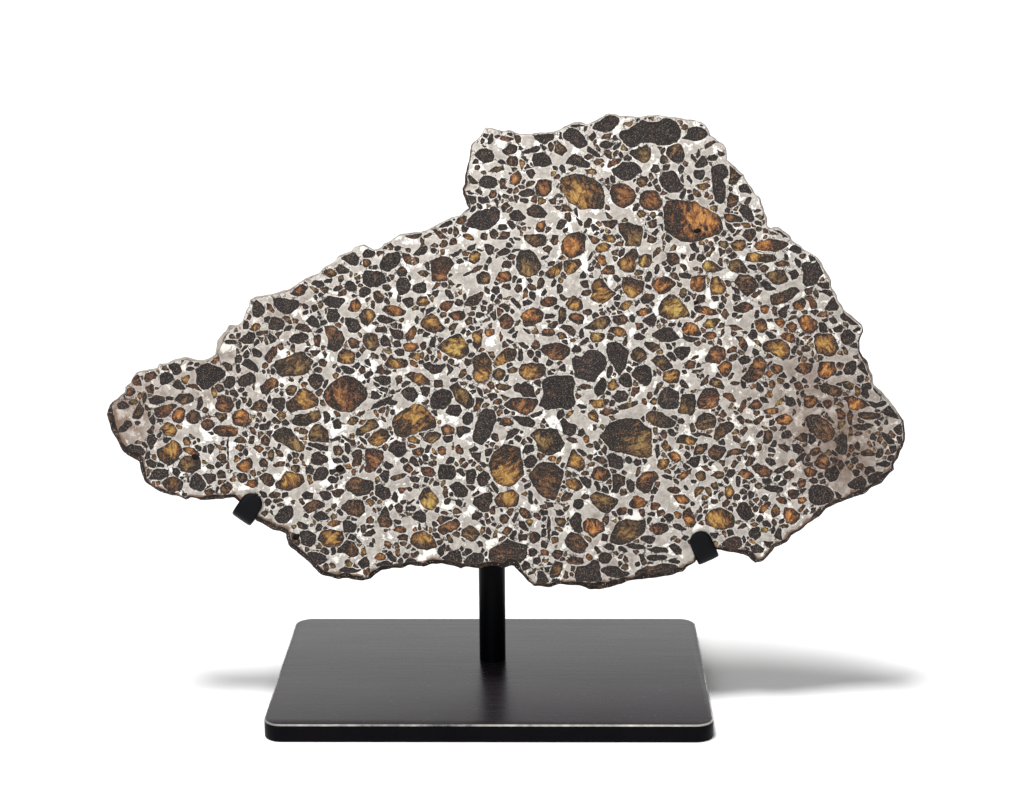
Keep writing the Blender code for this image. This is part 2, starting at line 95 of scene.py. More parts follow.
# Outline of the slice from its left end, clockwise: mm across, mm up the face, and mm of rough
# crust between the cut face and the outermost edge
OUTLINE = [
    (-133.0, 104.4, 2.6), (-132.2, 107.7, 1.6), (-131.0, 108.9, 0.5), (-129.0, 109.9, 0.4),
    (-128.3, 110.9, 0.4), (-126.3, 112.3, 0.4), (-126.1, 114.2, 0.4), (-124.4, 115.7, 0.4),
    (-124.1, 117.2, 0.4), (-122.5, 119.2, 0.4), (-120.2, 119.8, 0.4), (-117.0, 120.1, 0.4),
    (-114.8, 120.6, 0.4), (-114.4, 122.2, 0.4), (-112.0, 122.0, 0.4), (-109.8, 123.2, 0.5),
    (-108.1, 123.9, 0.6), (-105.7, 124.4, 0.6), (-99.2, 123.2, 0.5), (-97.0, 123.8, 0.4),
    (-95.0, 125.2, 0.6), (-94.7, 127.0, 1.4), (-94.1, 129.7, 2.0), (-92.2, 133.0, 2.0),
    (-91.2, 133.5, 1.6), (-90.1, 135.3, 1.2), (-87.3, 135.2, 0.4), (-85.3, 136.5, 0.4),
    (-84.1, 140.1, 0.5), (-83.1, 141.8, 0.4), (-82.6, 144.2, 0.4), (-81.0, 145.0, 0.4),
    (-76.9, 145.7, 0.4), (-71.5, 147.1, 0.6), (-69.0, 147.7, 0.6), (-67.2, 148.7, 0.5),
    (-65.6, 150.2, 0.5), (-61.4, 152.3, 0.4), (-58.9, 153.1, 0.4), (-56.9, 155.3, 0.5),
    (-54.5, 156.5, 0.5), (-51.7, 159.3, 0.5), (-49.2, 160.2, 0.5), (-47.4, 161.0, 0.5),
    (-46.8, 162.1, 0.4), (-44.8, 162.7, 0.4), (-42.6, 163.0, 0.4), (-39.2, 161.3, 0.4),
    (-37.2, 161.7, 0.4), (-36.0, 163.4, 0.4), (-34.2, 164.2, 0.4), (-30.8, 166.4, 0.4),
    (-23.9, 167.5, 0.4), (-20.8, 168.3, 0.5), (-16.8, 170.4, 0.4), (-14.4, 171.6, 0.4),
    (-11.4, 172.8, 0.4), (-9.8, 173.0, 0.5), (-8.5, 174.0, 0.5), (-6.6, 175.4, 0.6),
    (-7.4, 176.9, 0.8), (-8.0, 178.6, 0.9), (-8.9, 180.2, 0.9), (-8.9, 182.2, 0.6),
    (-8.0, 183.5, 0.7), (-8.1, 186.8, 0.8), (-7.0, 191.0, 0.5), (-6.4, 193.2, 0.5),
    (-5.8, 197.3, 0.5), (-4.6, 198.2, 0.4), (-3.1, 199.8, 0.4), (-0.9, 203.2, 0.4),
    (1.1, 202.9, 0.5), (4.7, 202.0, 0.4), (7.1, 202.0, 0.4), (10.7, 200.9, 0.4),
    (13.5, 200.7, 0.4), (19.1, 201.3, 0.4), (22.7, 201.5, 0.4), (24.7, 202.4, 0.4),
    (27.1, 203.6, 0.5), (28.7, 204.6, 0.5), (31.5, 204.7, 0.5), (33.8, 204.2, 0.5),
    (37.4, 205.4, 0.5), (39.2, 206.6, 0.5), (40.6, 207.7, 0.5), (43.8, 207.7, 0.5),
    (44.8, 206.7, 0.4), (52.6, 206.5, 0.4), (57.5, 207.3, 0.4), (59.9, 206.8, 0.4),
    (65.1, 206.0, 0.5), (68.3, 205.4, 0.4), (71.1, 205.3, 0.4), (73.1, 204.7, 0.4),
    (74.7, 203.3, 0.5), (75.7, 201.5, 0.5), (76.1, 200.1, 0.4), (78.5, 198.4, 0.5),
    (80.7, 197.1, 0.5), (81.6, 195.7, 0.5), (82.0, 191.9, 0.6), (83.5, 190.7, 0.8),
    (86.5, 187.7, 0.8), (87.9, 186.6, 0.7), (88.0, 185.2, 0.6), (90.1, 182.7, 0.6),
    (91.5, 179.9, 0.5), (93.4, 178.8, 0.6), (93.7, 176.7, 0.6), (95.5, 172.7, 0.8),
    (95.9, 168.8, 0.6), (97.2, 168.3, 0.5), (98.2, 168.8, 0.6), (100.2, 168.5, 0.8),
    (103.5, 165.7, 0.6), (104.1, 164.0, 0.6), (107.6, 162.2, 0.5), (108.3, 161.0, 0.4),
    (110.2, 160.0, 0.3), (113.0, 158.2, 0.3), (114.2, 156.8, 0.8), (115.4, 154.6, 0.9),
    (116.6, 152.0, 0.8), (117.7, 150.6, 0.6), (118.1, 147.8, 0.8), (120.0, 144.9, 0.8),
    (120.2, 143.3, 0.7), (122.7, 139.9, 0.8), (127.4, 136.1, 0.7), (128.6, 134.9, 0.5),
    (128.9, 132.8, 0.4), (127.6, 129.4, 0.5), (127.9, 126.0, 0.8), (128.8, 124.4, 1.0),
    (130.4, 122.5, 1.2), (131.4, 119.3, 1.2), (132.2, 117.9, 1.0), (132.6, 114.6, 0.8),
    (136.8, 110.6, 1.0), (140.5, 106.0, 0.9), (143.0, 102.0, 0.8), (143.8, 97.5, 1.0),
    (143.6, 95.1, 0.7), (142.2, 91.4, 1.2), (141.5, 88.6, 1.2), (139.8, 86.6, 1.0),
    (139.9, 84.8, 1.0), (138.3, 83.2, 1.1), (135.1, 79.9, 1.2), (132.1, 78.3, 1.2),
    (130.3, 76.7, 1.2), (124.7, 74.7, 1.2), (122.7, 74.1, 0.8), (119.9, 72.8, 1.0),
    (116.7, 71.6, 1.0), (114.4, 68.4, 0.5), (113.1, 68.1, 0.6), (110.1, 65.9, 0.5),
    (108.7, 64.5, 0.4), (104.3, 61.9, 0.6), (103.1, 60.0, 0.9), (101.1, 58.6, 1.0),
    (99.1, 58.1, 1.0), (98.5, 56.8, 0.8), (96.5, 54.6, 0.6), (94.3, 53.1, 0.5),
    (92.1, 52.3, 0.6), (90.9, 53.3, 1.0), (90.1, 54.6, 1.3), (88.8, 55.4, 1.3),
    (83.6, 56.1, 0.8), (80.1, 57.0, 0.5), (77.9, 57.4, 0.5), (75.6, 56.4, 0.5),
    (72.5, 54.9, 0.5), (71.3, 52.9, 0.4), (68.3, 50.5, 0.4), (67.3, 49.6, 0.4),
    (65.1, 49.3, 0.5), (62.3, 48.0, 0.8), (57.5, 47.2, 1.0), (52.6, 46.7, 1.2),
    (47.0, 45.7, 1.2), (42.2, 43.9, 1.5), (38.2, 43.4, 2.0), (34.6, 43.2, 2.0),
    (31.0, 44.5, 1.4), (27.0, 44.7, 0.6), (24.6, 45.0, 0.5), (20.8, 43.9, 0.5),
    (17.4, 44.5, 0.5), (15.5, 44.3, 0.5), (13.3, 45.8, 0.4), (12.3, 47.2, 0.7),
    (10.1, 49.3, 1.2), (8.1, 51.6, 2.0), (6.9, 51.2, 2.2), (5.3, 50.8, 1.6),
    (2.9, 51.1, 1.0), (-0.3, 51.5, 0.9), (-3.5, 50.6, 0.9), (-9.0, 51.1, 1.0),
    (-10.0, 50.6, 1.0), (-14.0, 51.8, 1.0), (-19.8, 52.4, 0.8), (-22.8, 51.3, 0.6),
    (-27.8, 51.8, 0.8), (-31.4, 50.8, 0.7), (-37.7, 50.1, 1.0), (-39.5, 48.8, 1.0),
    (-40.9, 47.6, 0.7), (-41.7, 46.6, 0.8), (-43.9, 46.2, 0.8), (-47.6, 46.6, 1.2),
    (-49.6, 47.2, 1.4), (-53.3, 47.0, 1.0), (-57.7, 48.0, 1.2), (-59.7, 49.0, 1.4),
    (-62.9, 52.5, 1.5), (-67.3, 56.5, 1.2), (-69.3, 57.8, 1.2), (-70.4, 59.1, 1.4),
    (-70.8, 61.4, 1.5), (-70.7, 62.8, 1.3), (-74.8, 64.0, 1.4), (-79.6, 66.6, 1.5),
    (-81.2, 67.3, 1.0), (-83.6, 70.4, 0.6), (-86.2, 73.2, 0.6), (-88.7, 75.6, 0.6),
    (-93.5, 74.8, 0.8), (-99.6, 74.5, 0.8), (-103.6, 75.6, 0.4), (-105.6, 74.6, 0.3),
    (-108.9, 76.0, 0.5), (-113.7, 77.0, 0.4), (-117.7, 79.1, 0.4), (-120.3, 81.3, 1.2),
    (-121.6, 86.3, 1.6), (-122.0, 88.2, 1.5), (-125.4, 89.9, 1.2), (-127.4, 91.5, 1.4),
    (-128.8, 93.7, 1.8), (-130.9, 98.0, 2.0), (-132.1, 100.4, 2.4),
]

# Olivine crystals on the show face, their outlines read one by one: look, @ where light comes out of
# the stone's depth, then its corners, in tenths of a mm across and up
CRYSTALS = """
dark@-970,1180 -1018,1200 -995,1216 -970,1225 -935,1210 -910,1195 -912,1178 -970,1136 -995,1129 -1015,1155
-1010,1180
brown -923,1223 -910,1228 -888,1215 -888,1198 -905,1196
dark@-825,1210 -858,1218 -850,1235 -828,1238 -808,1220 -795,1202 -800,1188
dark@-835,1165 -873,1160 -850,1182 -825,1192 -805,1178 -807,1156 -830,1146 -860,1140
dark -920,1153 -908,1178 -880,1176 -878,1150 -895,1133 -918,1140
dark -900,1128 -880,1132 -863,1114 -873,1104 -895,1114
rust@-915,1080 -940,1108 -920,1114 -893,1104 -880,1076 -898,1054 -926,1048 -948,1062
olive -952,1045 -943,1054 -908,1052 -905,1030 -930,1022
orange@-856,1046 -892,1036 -880,1055 -854,1065 -832,1050 -823,1018 -840,1003 -872,1006 -890,1022
brown@-800,1075 -830,1064 -810,1088 -790,1096 -765,1085 -770,1052
dark -797,1009 -756,1024 -760,995 -786,988 -798,994
orange@-900,990 -960,994 -935,1008 -902,1008 -875,1000 -868,978 -890,968 -930,970 -953,980
rust@-980,1020 -996,1018 -980,1030 -962,1028 -950,1006 -964,992 -985,990 -1000,1004
brown@-1025,1035 -1050,1040 -1034,1060 -1013,1060 -998,1042 -1008,1016 -1030,1012 -1047,1022
orange@-1075,1045 -1101,1038 -1092,1060 -1072,1072 -1054,1062 -1055,1032 -1075,1012 -1095,1022
brown@-1055,1090 -1092,1099 -1075,1117 -1030,1119 -1020,1103 -1026,1086 -1062,1079
rust@-1120,1060 -1163,1066 -1095,1084 -1077,1076 -1098,1063 -1116,1034 -1155,1036
dark@-1150,1095 -1182,1100 -1150,1112 -1125,1107 -1120,1094 -1138,1081 -1175,1083
brown@-1210,1060 -1213,1088 -1195,1070 -1197,1047 -1220,1026 -1238,1033 -1229,1060
dark -1290,1078 -1275,1095 -1255,1085 -1248,1072 -1265,1062 -1286,1066
rust@-1170,1135 -1192,1140 -1170,1152 -1159,1146 -1163,1117 -1178,1119
dark@-1125,1170 -1140,1180 -1120,1197 -1096,1182 -1087,1168 -1110,1154 -1137,1146
brown@-1175,1175 -1197,1170 -1185,1190 -1160,1197 -1145,1180 -1186,1154
rust@-1225,1165 -1243,1165 -1226,1190 -1209,1178 -1203,1146 -1226,1144
rust@-1243,1128 -1256,1136 -1233,1139 -1223,1124 -1242,1109 -1258,1110
dark@-1075,1210 -1115,1218 -1087,1226 -1063,1208 -1063,1192 -1085,1180
dark -1098,1146 -1077,1170 -1060,1150 -1052,1130 -1080,1133
rust@-1015,1145 -1050,1145 -1025,1154 -1005,1142 -993,1126
amber@-1110,995 -1140,996 -1120,1020 -1096,1013 -1078,990 -1093,969 -1123,970
dark -1185,970 -1166,978 -1151,960 -1166,930 -1175,923 -1187,950
dark@-1255,1010 -1285,995 -1260,1025 -1243,1026 -1237,1010 -1265,984 -1290,982
amber@-1100,925 -1153,925 -1120,940 -1100,958 -1078,950 -1065,918 -1080,890 -1112,868 -1147,890 -1155,910
orange@-1040,920 -1064,929 -1040,935 -1008,915 -1000,900 -1020,902 -1055,913
olive@-1050,885 -1075,885 -1055,903 -1015,900 -1000,882 -1000,856 -1030,840 -1066,846 -1082,860
dark -1196,884 -1175,892 -1152,877 -1163,859 -1186,867
dark@-1150,840 -1170,850 -1140,858 -1115,853 -1112,830 -1140,819 -1185,820
dark@-1220,915 -1273,925 -1245,943 -1210,936 -1194,920 -1197,902 -1225,906
dark -1100,858 -1080,860 -1070,843 -1084,827 -1099,840
dark -1000,836 -985,840 -947,838 -950,817 -975,802
brown@-925,895 -948,895 -930,910 -910,902 -902,878 -925,874
amber@-930,935 -958,945 -935,940 -906,926 -908,917 -935,924
olive@-855,955 -890,950 -870,965 -854,972 -838,950 -860,943
orange@-846,860 -880,865 -860,885 -826,896 -818,865 -836,846 -862,845
orange@-798,925 -820,930 -800,938 -780,926 -794,912
rust -790,960 -776,980 -759,958 -763,934 -792,942
brown -800,880 -782,896 -765,880 -770,860 -795,864
orange@-823,803 -848,800 -835,817 -810,819 -800,803 -820,788
rust -905,993 -913,854 -900,860 -885,850 -902,836
dark@-830,1310 -868,1302 -825,1333 -812,1330 -803,1310 -820,1290 -845,1290
dark -915,1298 -890,1306 -872,1302 -875,1288 -910,1290
amber@-695,815 -745,805 -720,823 -705,847 -675,843 -646,833 -640,810 -660,794 -700,780 -735,786
brown@-775,823 -800,828 -780,842 -756,836 -742,816 -753,793 -780,800
dark -638,860 -620,868 -604,853 -610,836 -635,840
dark@-585,840 -614,838 -595,860 -568,863 -555,840 -570,818 -608,814
dark -564,820 -548,833 -520,825 -528,804 -550,806
dark@-518,852 -532,857 -520,865 -500,862 -500,840 -518,835
dark -382,832 -366,850 -345,848 -350,815 -362,804
brown@-460,805 -500,796 -485,820 -465,830 -434,818 -400,810 -402,783 -425,765 -460,762 -490,777
dark@-360,773 -395,800 -375,803 -346,784 -339,759 -365,744 -398,763
brown@-530,775 -550,780 -523,788 -500,783 -514,760 -533,756 -546,766
dark@-570,763 -593,773 -573,780 -548,770 -549,750 -574,745
dark -654,765 -633,779 -610,770 -613,752 -638,747
brown -765,766 -750,778 -720,768 -735,754 -758,754
brown@-623,720 -649,720 -630,738 -605,750 -573,736 -572,723 -600,716 -628,698
dark -614,690 -583,713 -554,686 -565,678 -605,676
brown@-475,720 -519,718 -495,743 -475,750 -438,747 -430,706 -450,688 -484,693
dark@-705,695 -748,683 -726,715 -705,728 -680,724 -683,690 -708,667 -735,667
orange@-545,665 -566,660 -548,676 -515,675 -518,660 -545,653
dark@-485,655 -510,672 -490,678 -468,666 -458,650 -470,634 -504,634
dark -600,663 -586,666 -576,653 -588,637 -604,644
brown@-365,665 -389,676 -372,715 -359,727 -336,664 -353,648 -378,653
brown@-315,720 -330,726 -316,737 -299,724 -303,702 -323,703
brown -426,680 -414,693 -400,680 -410,662 -429,666
amber@-415,740 -430,746 -416,753 -394,740 -410,724
brown -444,622 -420,640 -403,649 -393,635 -413,619
dark@-245,690 -270,687 -258,706 -240,714 -222,703 -220,670 -236,666
amber@-225,615 -275,615 -260,634 -230,640 -195,620 -180,585 -210,573 -255,578 -274,594
orange@-310,645 -337,643 -310,660 -290,648 -288,632 -315,633
brown@-297,618 -323,616 -300,630 -283,624 -286,604 -310,607
amber@-545,615 -598,612 -580,638 -550,647 -515,637 -500,615 -515,588 -545,582 -578,586
brown@-475,585 -516,593 -495,608 -475,604 -455,575 -454,556 -475,546 -505,562 -534,563
brown@-675,610 -705,628 -680,635 -660,622 -656,595 -673,580 -698,593
dark@-635,615 -660,637 -625,640 -600,623 -609,593 -623,582 -654,592
dark -670,668 -648,670 -628,655 -635,644 -663,650
dark@-610,545 -660,560 -620,566 -578,560 -563,540 -580,524 -605,518
dark@-438,525 -459,530 -430,553 -416,523 -430,507 -448,508
dark -398,518 -380,532 -360,534 -330,526 -325,514 -360,512 -385,507
dark -363,560 -348,572 -336,554 -323,548 -326,530 -346,536
dark -300,526 -286,543 -260,542 -243,522 -270,518
dark -523,504 -500,513 -440,504 -466,492 -504,490
olive@-285,820 -278,826 -260,830 -240,823 -250,806 -270,810
olive@-660,1215 -746,1215 -733,1233 -701,1240 -661,1262 -638,1262 -624,1244 -603,1230 -615,1212 -622,1189
-665,1178 -724,1178
rust@-750,1250 -776,1244 -749,1280 -729,1278 -735,1253 -760,1219
rust -620,1267 -581,1267 -591,1253 -600,1242 -611,1253
rust -589,1230 -579,1240 -557,1224 -566,1210 -586,1212
amber@-490,1240 -516,1260 -500,1276 -466,1258 -462,1242 -466,1219 -507,1221 -525,1230
dark -514,1210 -502,1215 -459,1201 -466,1186 -489,1183 -505,1192
rust -450,1196 -441,1217 -428,1210 -425,1192 -441,1183
amber@-320,1215 -362,1219 -337,1253 -325,1237 -289,1235 -277,1224 -289,1206 -344,1203
dark -328,1262 -312,1274 -292,1269 -292,1249 -310,1244
amber@-250,1245 -281,1244 -267,1260 -244,1255 -223,1262 -224,1244 -249,1230
rust -385,1208 -371,1215 -362,1201 -335,1192 -339,1182 -396,1186
dark -400,1171 -371,1180 -337,1174 -339,1153 -360,1142 -380,1151
olive -323,1167 -314,1180 -301,1178 -302,1153 -319,1149
dark -389,1135 -371,1140 -346,1135 -353,1119 -373,1124
dark -409,1101 -405,1128 -369,1110 -375,1105 -398,1094
dark -414,1060 -398,1080 -376,1094 -348,1103 -328,1115 -339,1096 -315,1090 -319,1076 -353,1076
dark -301,1131 -281,1140 -262,1137 -242,1112 -262,1087 -285,1094 -305,1117
rust@-510,1110 -578,1112 -557,1142 -516,1176 -489,1180 -462,1171 -429,1142 -420,1121 -427,1094 -477,1053
-518,1055 -545,1069 -563,1085
dark -629,1162 -621,1178 -603,1189 -580,1183 -571,1162 -580,1142 -598,1128 -619,1146
amber@-635,1100 -702,1085 -667,1112 -658,1131 -639,1137 -599,1112 -586,1092 -594,1076 -617,1065 -662,1060
-685,1051 -699,1058
olive -705,1130 -693,1146 -678,1149 -662,1137 -680,1108 -698,1110
rust@-745,1160 -792,1142 -769,1165 -747,1174 -726,1162 -729,1140 -747,1135 -774,1110 -787,1121
dark -750,1101 -707,1103 -706,1067 -716,1055 -745,1067 -752,1083
olive -754,1028 -739,1037 -722,1021 -730,1011 -748,1015
olive@-670,935 -754,974 -736,994 -709,1000 -686,994 -664,962 -639,940 -637,919 -659,912 -687,921 -709,940
-741,953
olive@-605,1040 -683,1021 -670,1044 -638,1046 -606,1058 -584,1060 -580,1040 -593,1021 -611,1017 -629,1005
-661,1005 -681,1010
olive@-600,980 -629,971 -620,990 -600,1012 -580,1008 -559,990 -555,949 -625,953
dark -630,947 -598,947 -556,933 -558,917 -580,921 -625,935
dark -620,880 -613,908 -593,917 -557,894 -559,883 -582,869 -609,871
dark -546,892 -519,894 -505,880 -519,876 -537,878
rust@-480,950 -514,976 -494,962 -467,958 -459,944 -467,935 -507,962
olive -544,921 -537,935 -519,937 -502,917 -510,903 -532,903
dark -543,1021 -525,1033 -512,1017 -514,994 -534,994
olive -489,1021 -475,1037 -450,1035 -452,1017 -470,1005 -486,1010
dark -575,1053 -561,1056 -548,1040 -552,1021 -570,1012
olive@-420,995 -462,974 -460,994 -435,1008 -414,1028 -394,1026 -380,999 -399,994 -430,976 -453,969
amber@-250,1040 -338,1012 -329,1035 -306,1053 -256,1081 -230,1078 -184,1030 -184,999 -232,987 -295,963
-325,973
amber@-390,955 -421,953 -412,971 -380,994 -362,996 -349,985 -340,967 -358,949 -381,933 -408,937
dark -351,920 -342,944 -326,958 -310,949 -289,949 -287,917 -301,894 -319,894 -336,912
rust@-400,890 -430,912 -425,926 -401,926 -367,917 -365,899 -374,876 -393,849 -416,842 -433,849 -426,876
rust@-460,870 -478,908 -460,924 -442,924 -439,912 -446,867 -474,862 -478,876 -469,890
rust -751,933 -728,921 -713,908 -713,896 -732,899
rust -752,869 -723,883 -707,880 -709,867 -741,862
rust -300,862 -287,876 -264,862 -264,849 -280,839 -294,849
dark -278,885 -269,899 -251,890 -242,863 -256,863
dark -367,867 -358,885 -331,865 -342,853 -356,855
dark -815,1430 -798,1442 -775,1415 -773,1394 -792,1382 -816,1385
dark@-680,1425 -745,1445 -710,1450 -680,1440 -655,1438 -657,1417 -675,1398 -703,1392 -730,1407 -743,1427
rust -770,1428 -753,1430 -738,1400 -746,1396 -764,1410
rust -685,1463 -665,1482 -640,1498 -624,1485 -635,1460 -663,1452
dark -762,1342 -756,1372 -740,1384 -710,1376 -704,1360 -710,1340 -736,1336
brown -714,1385 -690,1383 -677,1358 -683,1353 -702,1368
dark -613,1495 -600,1508 -570,1507 -565,1488 -590,1483
brown@-570,1475 -583,1483 -553,1486 -554,1464 -572,1464
dark@-535,1423 -573,1435 -555,1453 -515,1450 -492,1439 -515,1413 -540,1412 -558,1419
dark -530,1543 -515,1565 -475,1542 -493,1529 -515,1527
rust -570,1540 -545,1550 -518,1534 -540,1514 -560,1523
dark@-458,1580 -510,1586 -490,1604 -467,1609 -450,1593 -443,1570 -460,1557 -485,1567
dark -434,1598 -423,1614 -404,1622 -385,1600 -403,1584 -425,1584
rust -435,1578 -415,1583 -400,1562 -425,1550 -434,1563
dark@-450,1490 -498,1484 -492,1502 -478,1507 -453,1493 -454,1471 -483,1469
dark@-390,1515 -436,1526 -423,1542 -385,1540 -360,1530 -352,1500 -380,1487 -410,1482 -435,1502
dark -448,1473 -430,1488 -406,1481 -405,1465 -430,1448 -445,1454
brown -398,1468 -380,1474 -358,1450 -364,1433 -385,1428 -397,1445
dark@-340,1575 -375,1562 -365,1585 -345,1600 -308,1604 -300,1577 -315,1558 -343,1538 -373,1542
brown@-295,1540 -317,1534 -310,1552 -297,1558 -277,1538 -285,1522 -310,1520
dark@-290,1485 -319,1500 -305,1518 -280,1516 -265,1490 -280,1463 -305,1453 -318,1475
dark -262,1470 -258,1490 -235,1500 -216,1498 -215,1464 -250,1463
dark -300,1442 -263,1450 -255,1425 -275,1410 -290,1423
amber@-220,1435 -250,1430 -244,1450 -215,1454 -198,1430 -217,1420 -245,1418
orange@-320,1402 -368,1405 -355,1420 -315,1420 -283,1400 -295,1383 -326,1383 -350,1390
orange@-458,1417 -488,1405 -475,1436 -455,1447 -438,1428 -448,1403 -468,1400
amber@-410,1390 -448,1388 -430,1408 -405,1410 -390,1388 -403,1363 -420,1348 -437,1360
dark@-460,1360 -498,1378 -467,1378 -450,1368 -438,1343 -458,1326 -483,1333 -493,1353
dark@-550,1395 -555,1408 -530,1410 -510,1383 -525,1363 -555,1363 -560,1380
dark -388,1375 -370,1390 -317,1368 -340,1360 -375,1360
dark@-600,1360 -634,1367 -610,1388 -583,1370 -585,1344 -605,1345
brown@-640,1350 -670,1342 -654,1360 -630,1356 -608,1333 -625,1329
brown@-540,1320 -570,1350 -540,1353 -505,1330 -497,1305 -510,1275 -535,1260 -560,1273 -555,1305
dark@-650,1305 -695,1300 -670,1325 -635,1328 -620,1310 -638,1295 -668,1288
dark -765,1310 -757,1330 -733,1312 -740,1295 -755,1290
rust -605,1318 -582,1320 -583,1277 -603,1282
olive@-410,1290 -435,1318 -415,1326 -386,1323 -380,1280 -395,1263 -425,1273 -436,1290
dark -376,1296 -363,1320 -345,1308 -337,1280 -367,1278
brown@-470,1295 -488,1300 -473,1310 -448,1298 -445,1275 -475,1270
dark -345,1343 -293,1334 -296,1307 -318,1300 -334,1318
brown -380,1348 -358,1350 -350,1334 -376,1326 -397,1334
rust -287,1320 -260,1354 -245,1335 -258,1305 -284,1298
orange -298,1284 -280,1294 -253,1290 -235,1278 -255,1262 -285,1262
dark -820,1270 -805,1275 -780,1254 -793,1240 -816,1249
brown@-270,1660 -295,1663 -265,1672 -225,1673 -235,1655 -260,1648
rust -296,1603 -275,1600 -245,1573 -265,1560 -293,1574
gold@-205,740 -225,791 -209,792 -182,760 -174,742 -184,724 -200,711 -220,715 -239,733 -245,760
dark -119,811 -100,808 -71,781 -76,765 -89,756 -112,756 -137,794
dark -80,851 -48,855 -46,837 -55,801 -76,803 -82,824
dark -19,849 -3,839 7,824 -10,801 -26,790 -39,801 -46,824 -35,839
dark -28,767 6,773 15,760 1,728 -3,706 -17,701 -60,735 -51,756
amber@69,753 42,774 78,783 96,774 105,756 101,735 83,720 51,720 26,724 17,744 24,762
brown@200,810 164,869 187,880 228,876 259,842 243,783 228,744 187,756 164,781 148,805 135,833
amber@285,800 264,817 295,824 316,812 327,794 305,776 266,792
dark 309,826 336,828 354,815 352,794 341,785 329,794
brown 268,775 291,771 284,756 264,742 246,744 250,760
dark 295,746 318,753 328,737 323,719 305,712 289,728
brown 108,721 126,717 139,706 146,683 123,681 105,697 99,710
dark 101,675 121,672 137,638 114,642 101,660
dark 178,715 203,710 207,697 182,692 173,703
dark 202,690 210,688 212,630 208,602 202,615 200,660
olive 228,683 257,684 268,674 257,649 241,654 223,672
brown 153,638 173,631 180,617 169,601 146,595 137,610 142,629
brown 100,629 132,627 130,606 102,603
brown@310,610 282,633 309,631 343,590 334,574 316,558 291,565 271,583 262,601 266,620
brown@30,540 -1,570 15,583 42,597 62,613 81,601 130,590 133,565 110,524 65,540 42,516 19,509 1,522 -5,552
dark -116,574 -100,567 -94,515 -157,524 -175,529 -157,552 -139,565
dark -57,563 -21,561 -16,511 -67,513 -91,517 -89,533 -71,554
dark -87,579 -65,575 -58,565 -78,554 -88,563
dark -157,597 -149,592 -166,548 -182,559 -177,579
olive -162,693 -123,683 -171,662 -184,674 -180,685
rust@-135,655 -116,685 -100,665 -103,651 -134,633 -162,624 -182,638 -177,656
olive@-65,630 -71,660 -53,651 -28,629 -53,601 -76,606 -98,620 -98,638
dark -48,707 -26,703 -21,692 -39,675 -62,678 -62,692
olive 40,697 60,699 70,683 60,665 38,665 34,683
rust 62,656 81,644 69,629 56,620 40,633
dark 135,780 148,776 152,732 140,734 134,755
dark 190,740 222,739 222,722 203,719
dark 169,499 182,500 200,479 205,461 203,443 164,445 164,470
brown 228,531 255,529 252,506 241,477 209,474 212,506
dark 216,473 243,472 240,453 217,453
brown 228,573 257,569 252,552 235,538 214,554
dark 184,608 203,595 198,577 180,581 178,596
brown 282,552 327,542 325,522 300,518 282,522 264,533
dark 359,538 380,534 390,462 300,462 295,483 300,515 332,515
dark -123,750 -105,748 -90,739 -98,722 -115,733
brown -154,798 -144,785 -142,758 -154,753 -160,770
dark -232,1217 -205,1226 -189,1215 -146,1219 -165,1192 -193,1183
dark -146,1219 -135,1217 -119,1201 -146,1176 -139,1196
amber@-238,1164 -290,1183 -264,1190 -232,1187 -205,1162 -203,1145 -223,1149 -245,1143
dark -239,1139 -204,1139 -205,1121 -216,1104 -232,1112
rust -191,1162 -160,1165 -160,1137 -189,1137
amber@-25,1175 -56,1242 -19,1260 -1,1251 10,1221 11,1199 -1,1167 -19,1152 -42,1153 -56,1171 -53,1208
amber@35,1225 17,1224 35,1253 60,1274 94,1271 97,1253 85,1230 26,1208
dark 102,1267 116,1271 118,1230 103,1226
rust@220,1245 175,1269 197,1285 243,1292 279,1274 279,1253 252,1230 220,1230
olive 8,1180 21,1201 39,1205 57,1194 57,1176 39,1160 21,1165
olive 62,1201 85,1210 98,1203 98,1192 80,1185 66,1190
amber@130,1190 101,1194 112,1217 143,1221 179,1219 200,1203 188,1180 175,1167 125,1162 109,1176
rust -8,1149 3,1160 19,1151 19,1135 3,1128
olive 21,1149 48,1151 80,1140 53,1124 30,1130
dark -10,1115 26,1117 31,1105 8,1090 -1,1101
dark 85,1142 99,1156 109,1145 125,1160 152,1139 165,1101 115,1104 110,1120 87,1121
rust@120,1075 50,1076 71,1097 99,1102 135,1102 168,1098 168,1080 155,1058 125,1040 97,1053 70,1060
dark@230,1110 182,1158 207,1176 288,1178 297,1153 292,1112 299,1080 274,1058 243,1067 202,1058 170,1076
188,1108
dark -207,1085 -193,1121 -160,1133 -132,1126 -123,1103 -141,1076 -155,1062 -196,1062
dark -150,1049 -137,1078 -101,1078 -93,1058 -103,1037 -132,1040
olive -139,1140 -110,1158 -96,1137 -69,1121 -47,1090 -60,1067 -78,1065 -110,1085 -123,1117
rust -44,1101 -15,1101 -38,1058 -51,1051 -52,1071
dark -94,1031 -78,1055 -56,1044 -53,1026 -69,1008 -92,1012
dark@-20,1010 -38,1040 -19,1065 12,1062 28,1040 17,1003 -1,962 -24,937 -56,953 -53,980
rust -169,999 -146,1012 -119,999 -121,976 -160,971
dark -162,967 -121,970 -128,949 -150,946
dark -114,999 -87,1003 -60,994 -69,979 -87,978 -101,962 -110,967
olive@-200,958 -232,962 -211,980 -182,987 -164,976 -173,958 -196,942 -218,949
amber -282,962 -263,971 -239,953 -241,942 -277,946
rust -268,921 -250,931 -223,924 -232,901 -264,906
rust -180,926 -164,937 -148,926 -150,910 -164,902 -178,912
rust -117,931 -105,942 -89,912 -96,903 -119,917
dark -64,910 -28,912 -31,880 -40,874 -56,892
dark -15,921 12,928 8,912 -1,896 -14,903
dark -171,871 -119,866 -117,830 -126,817 -173,819 -178,840
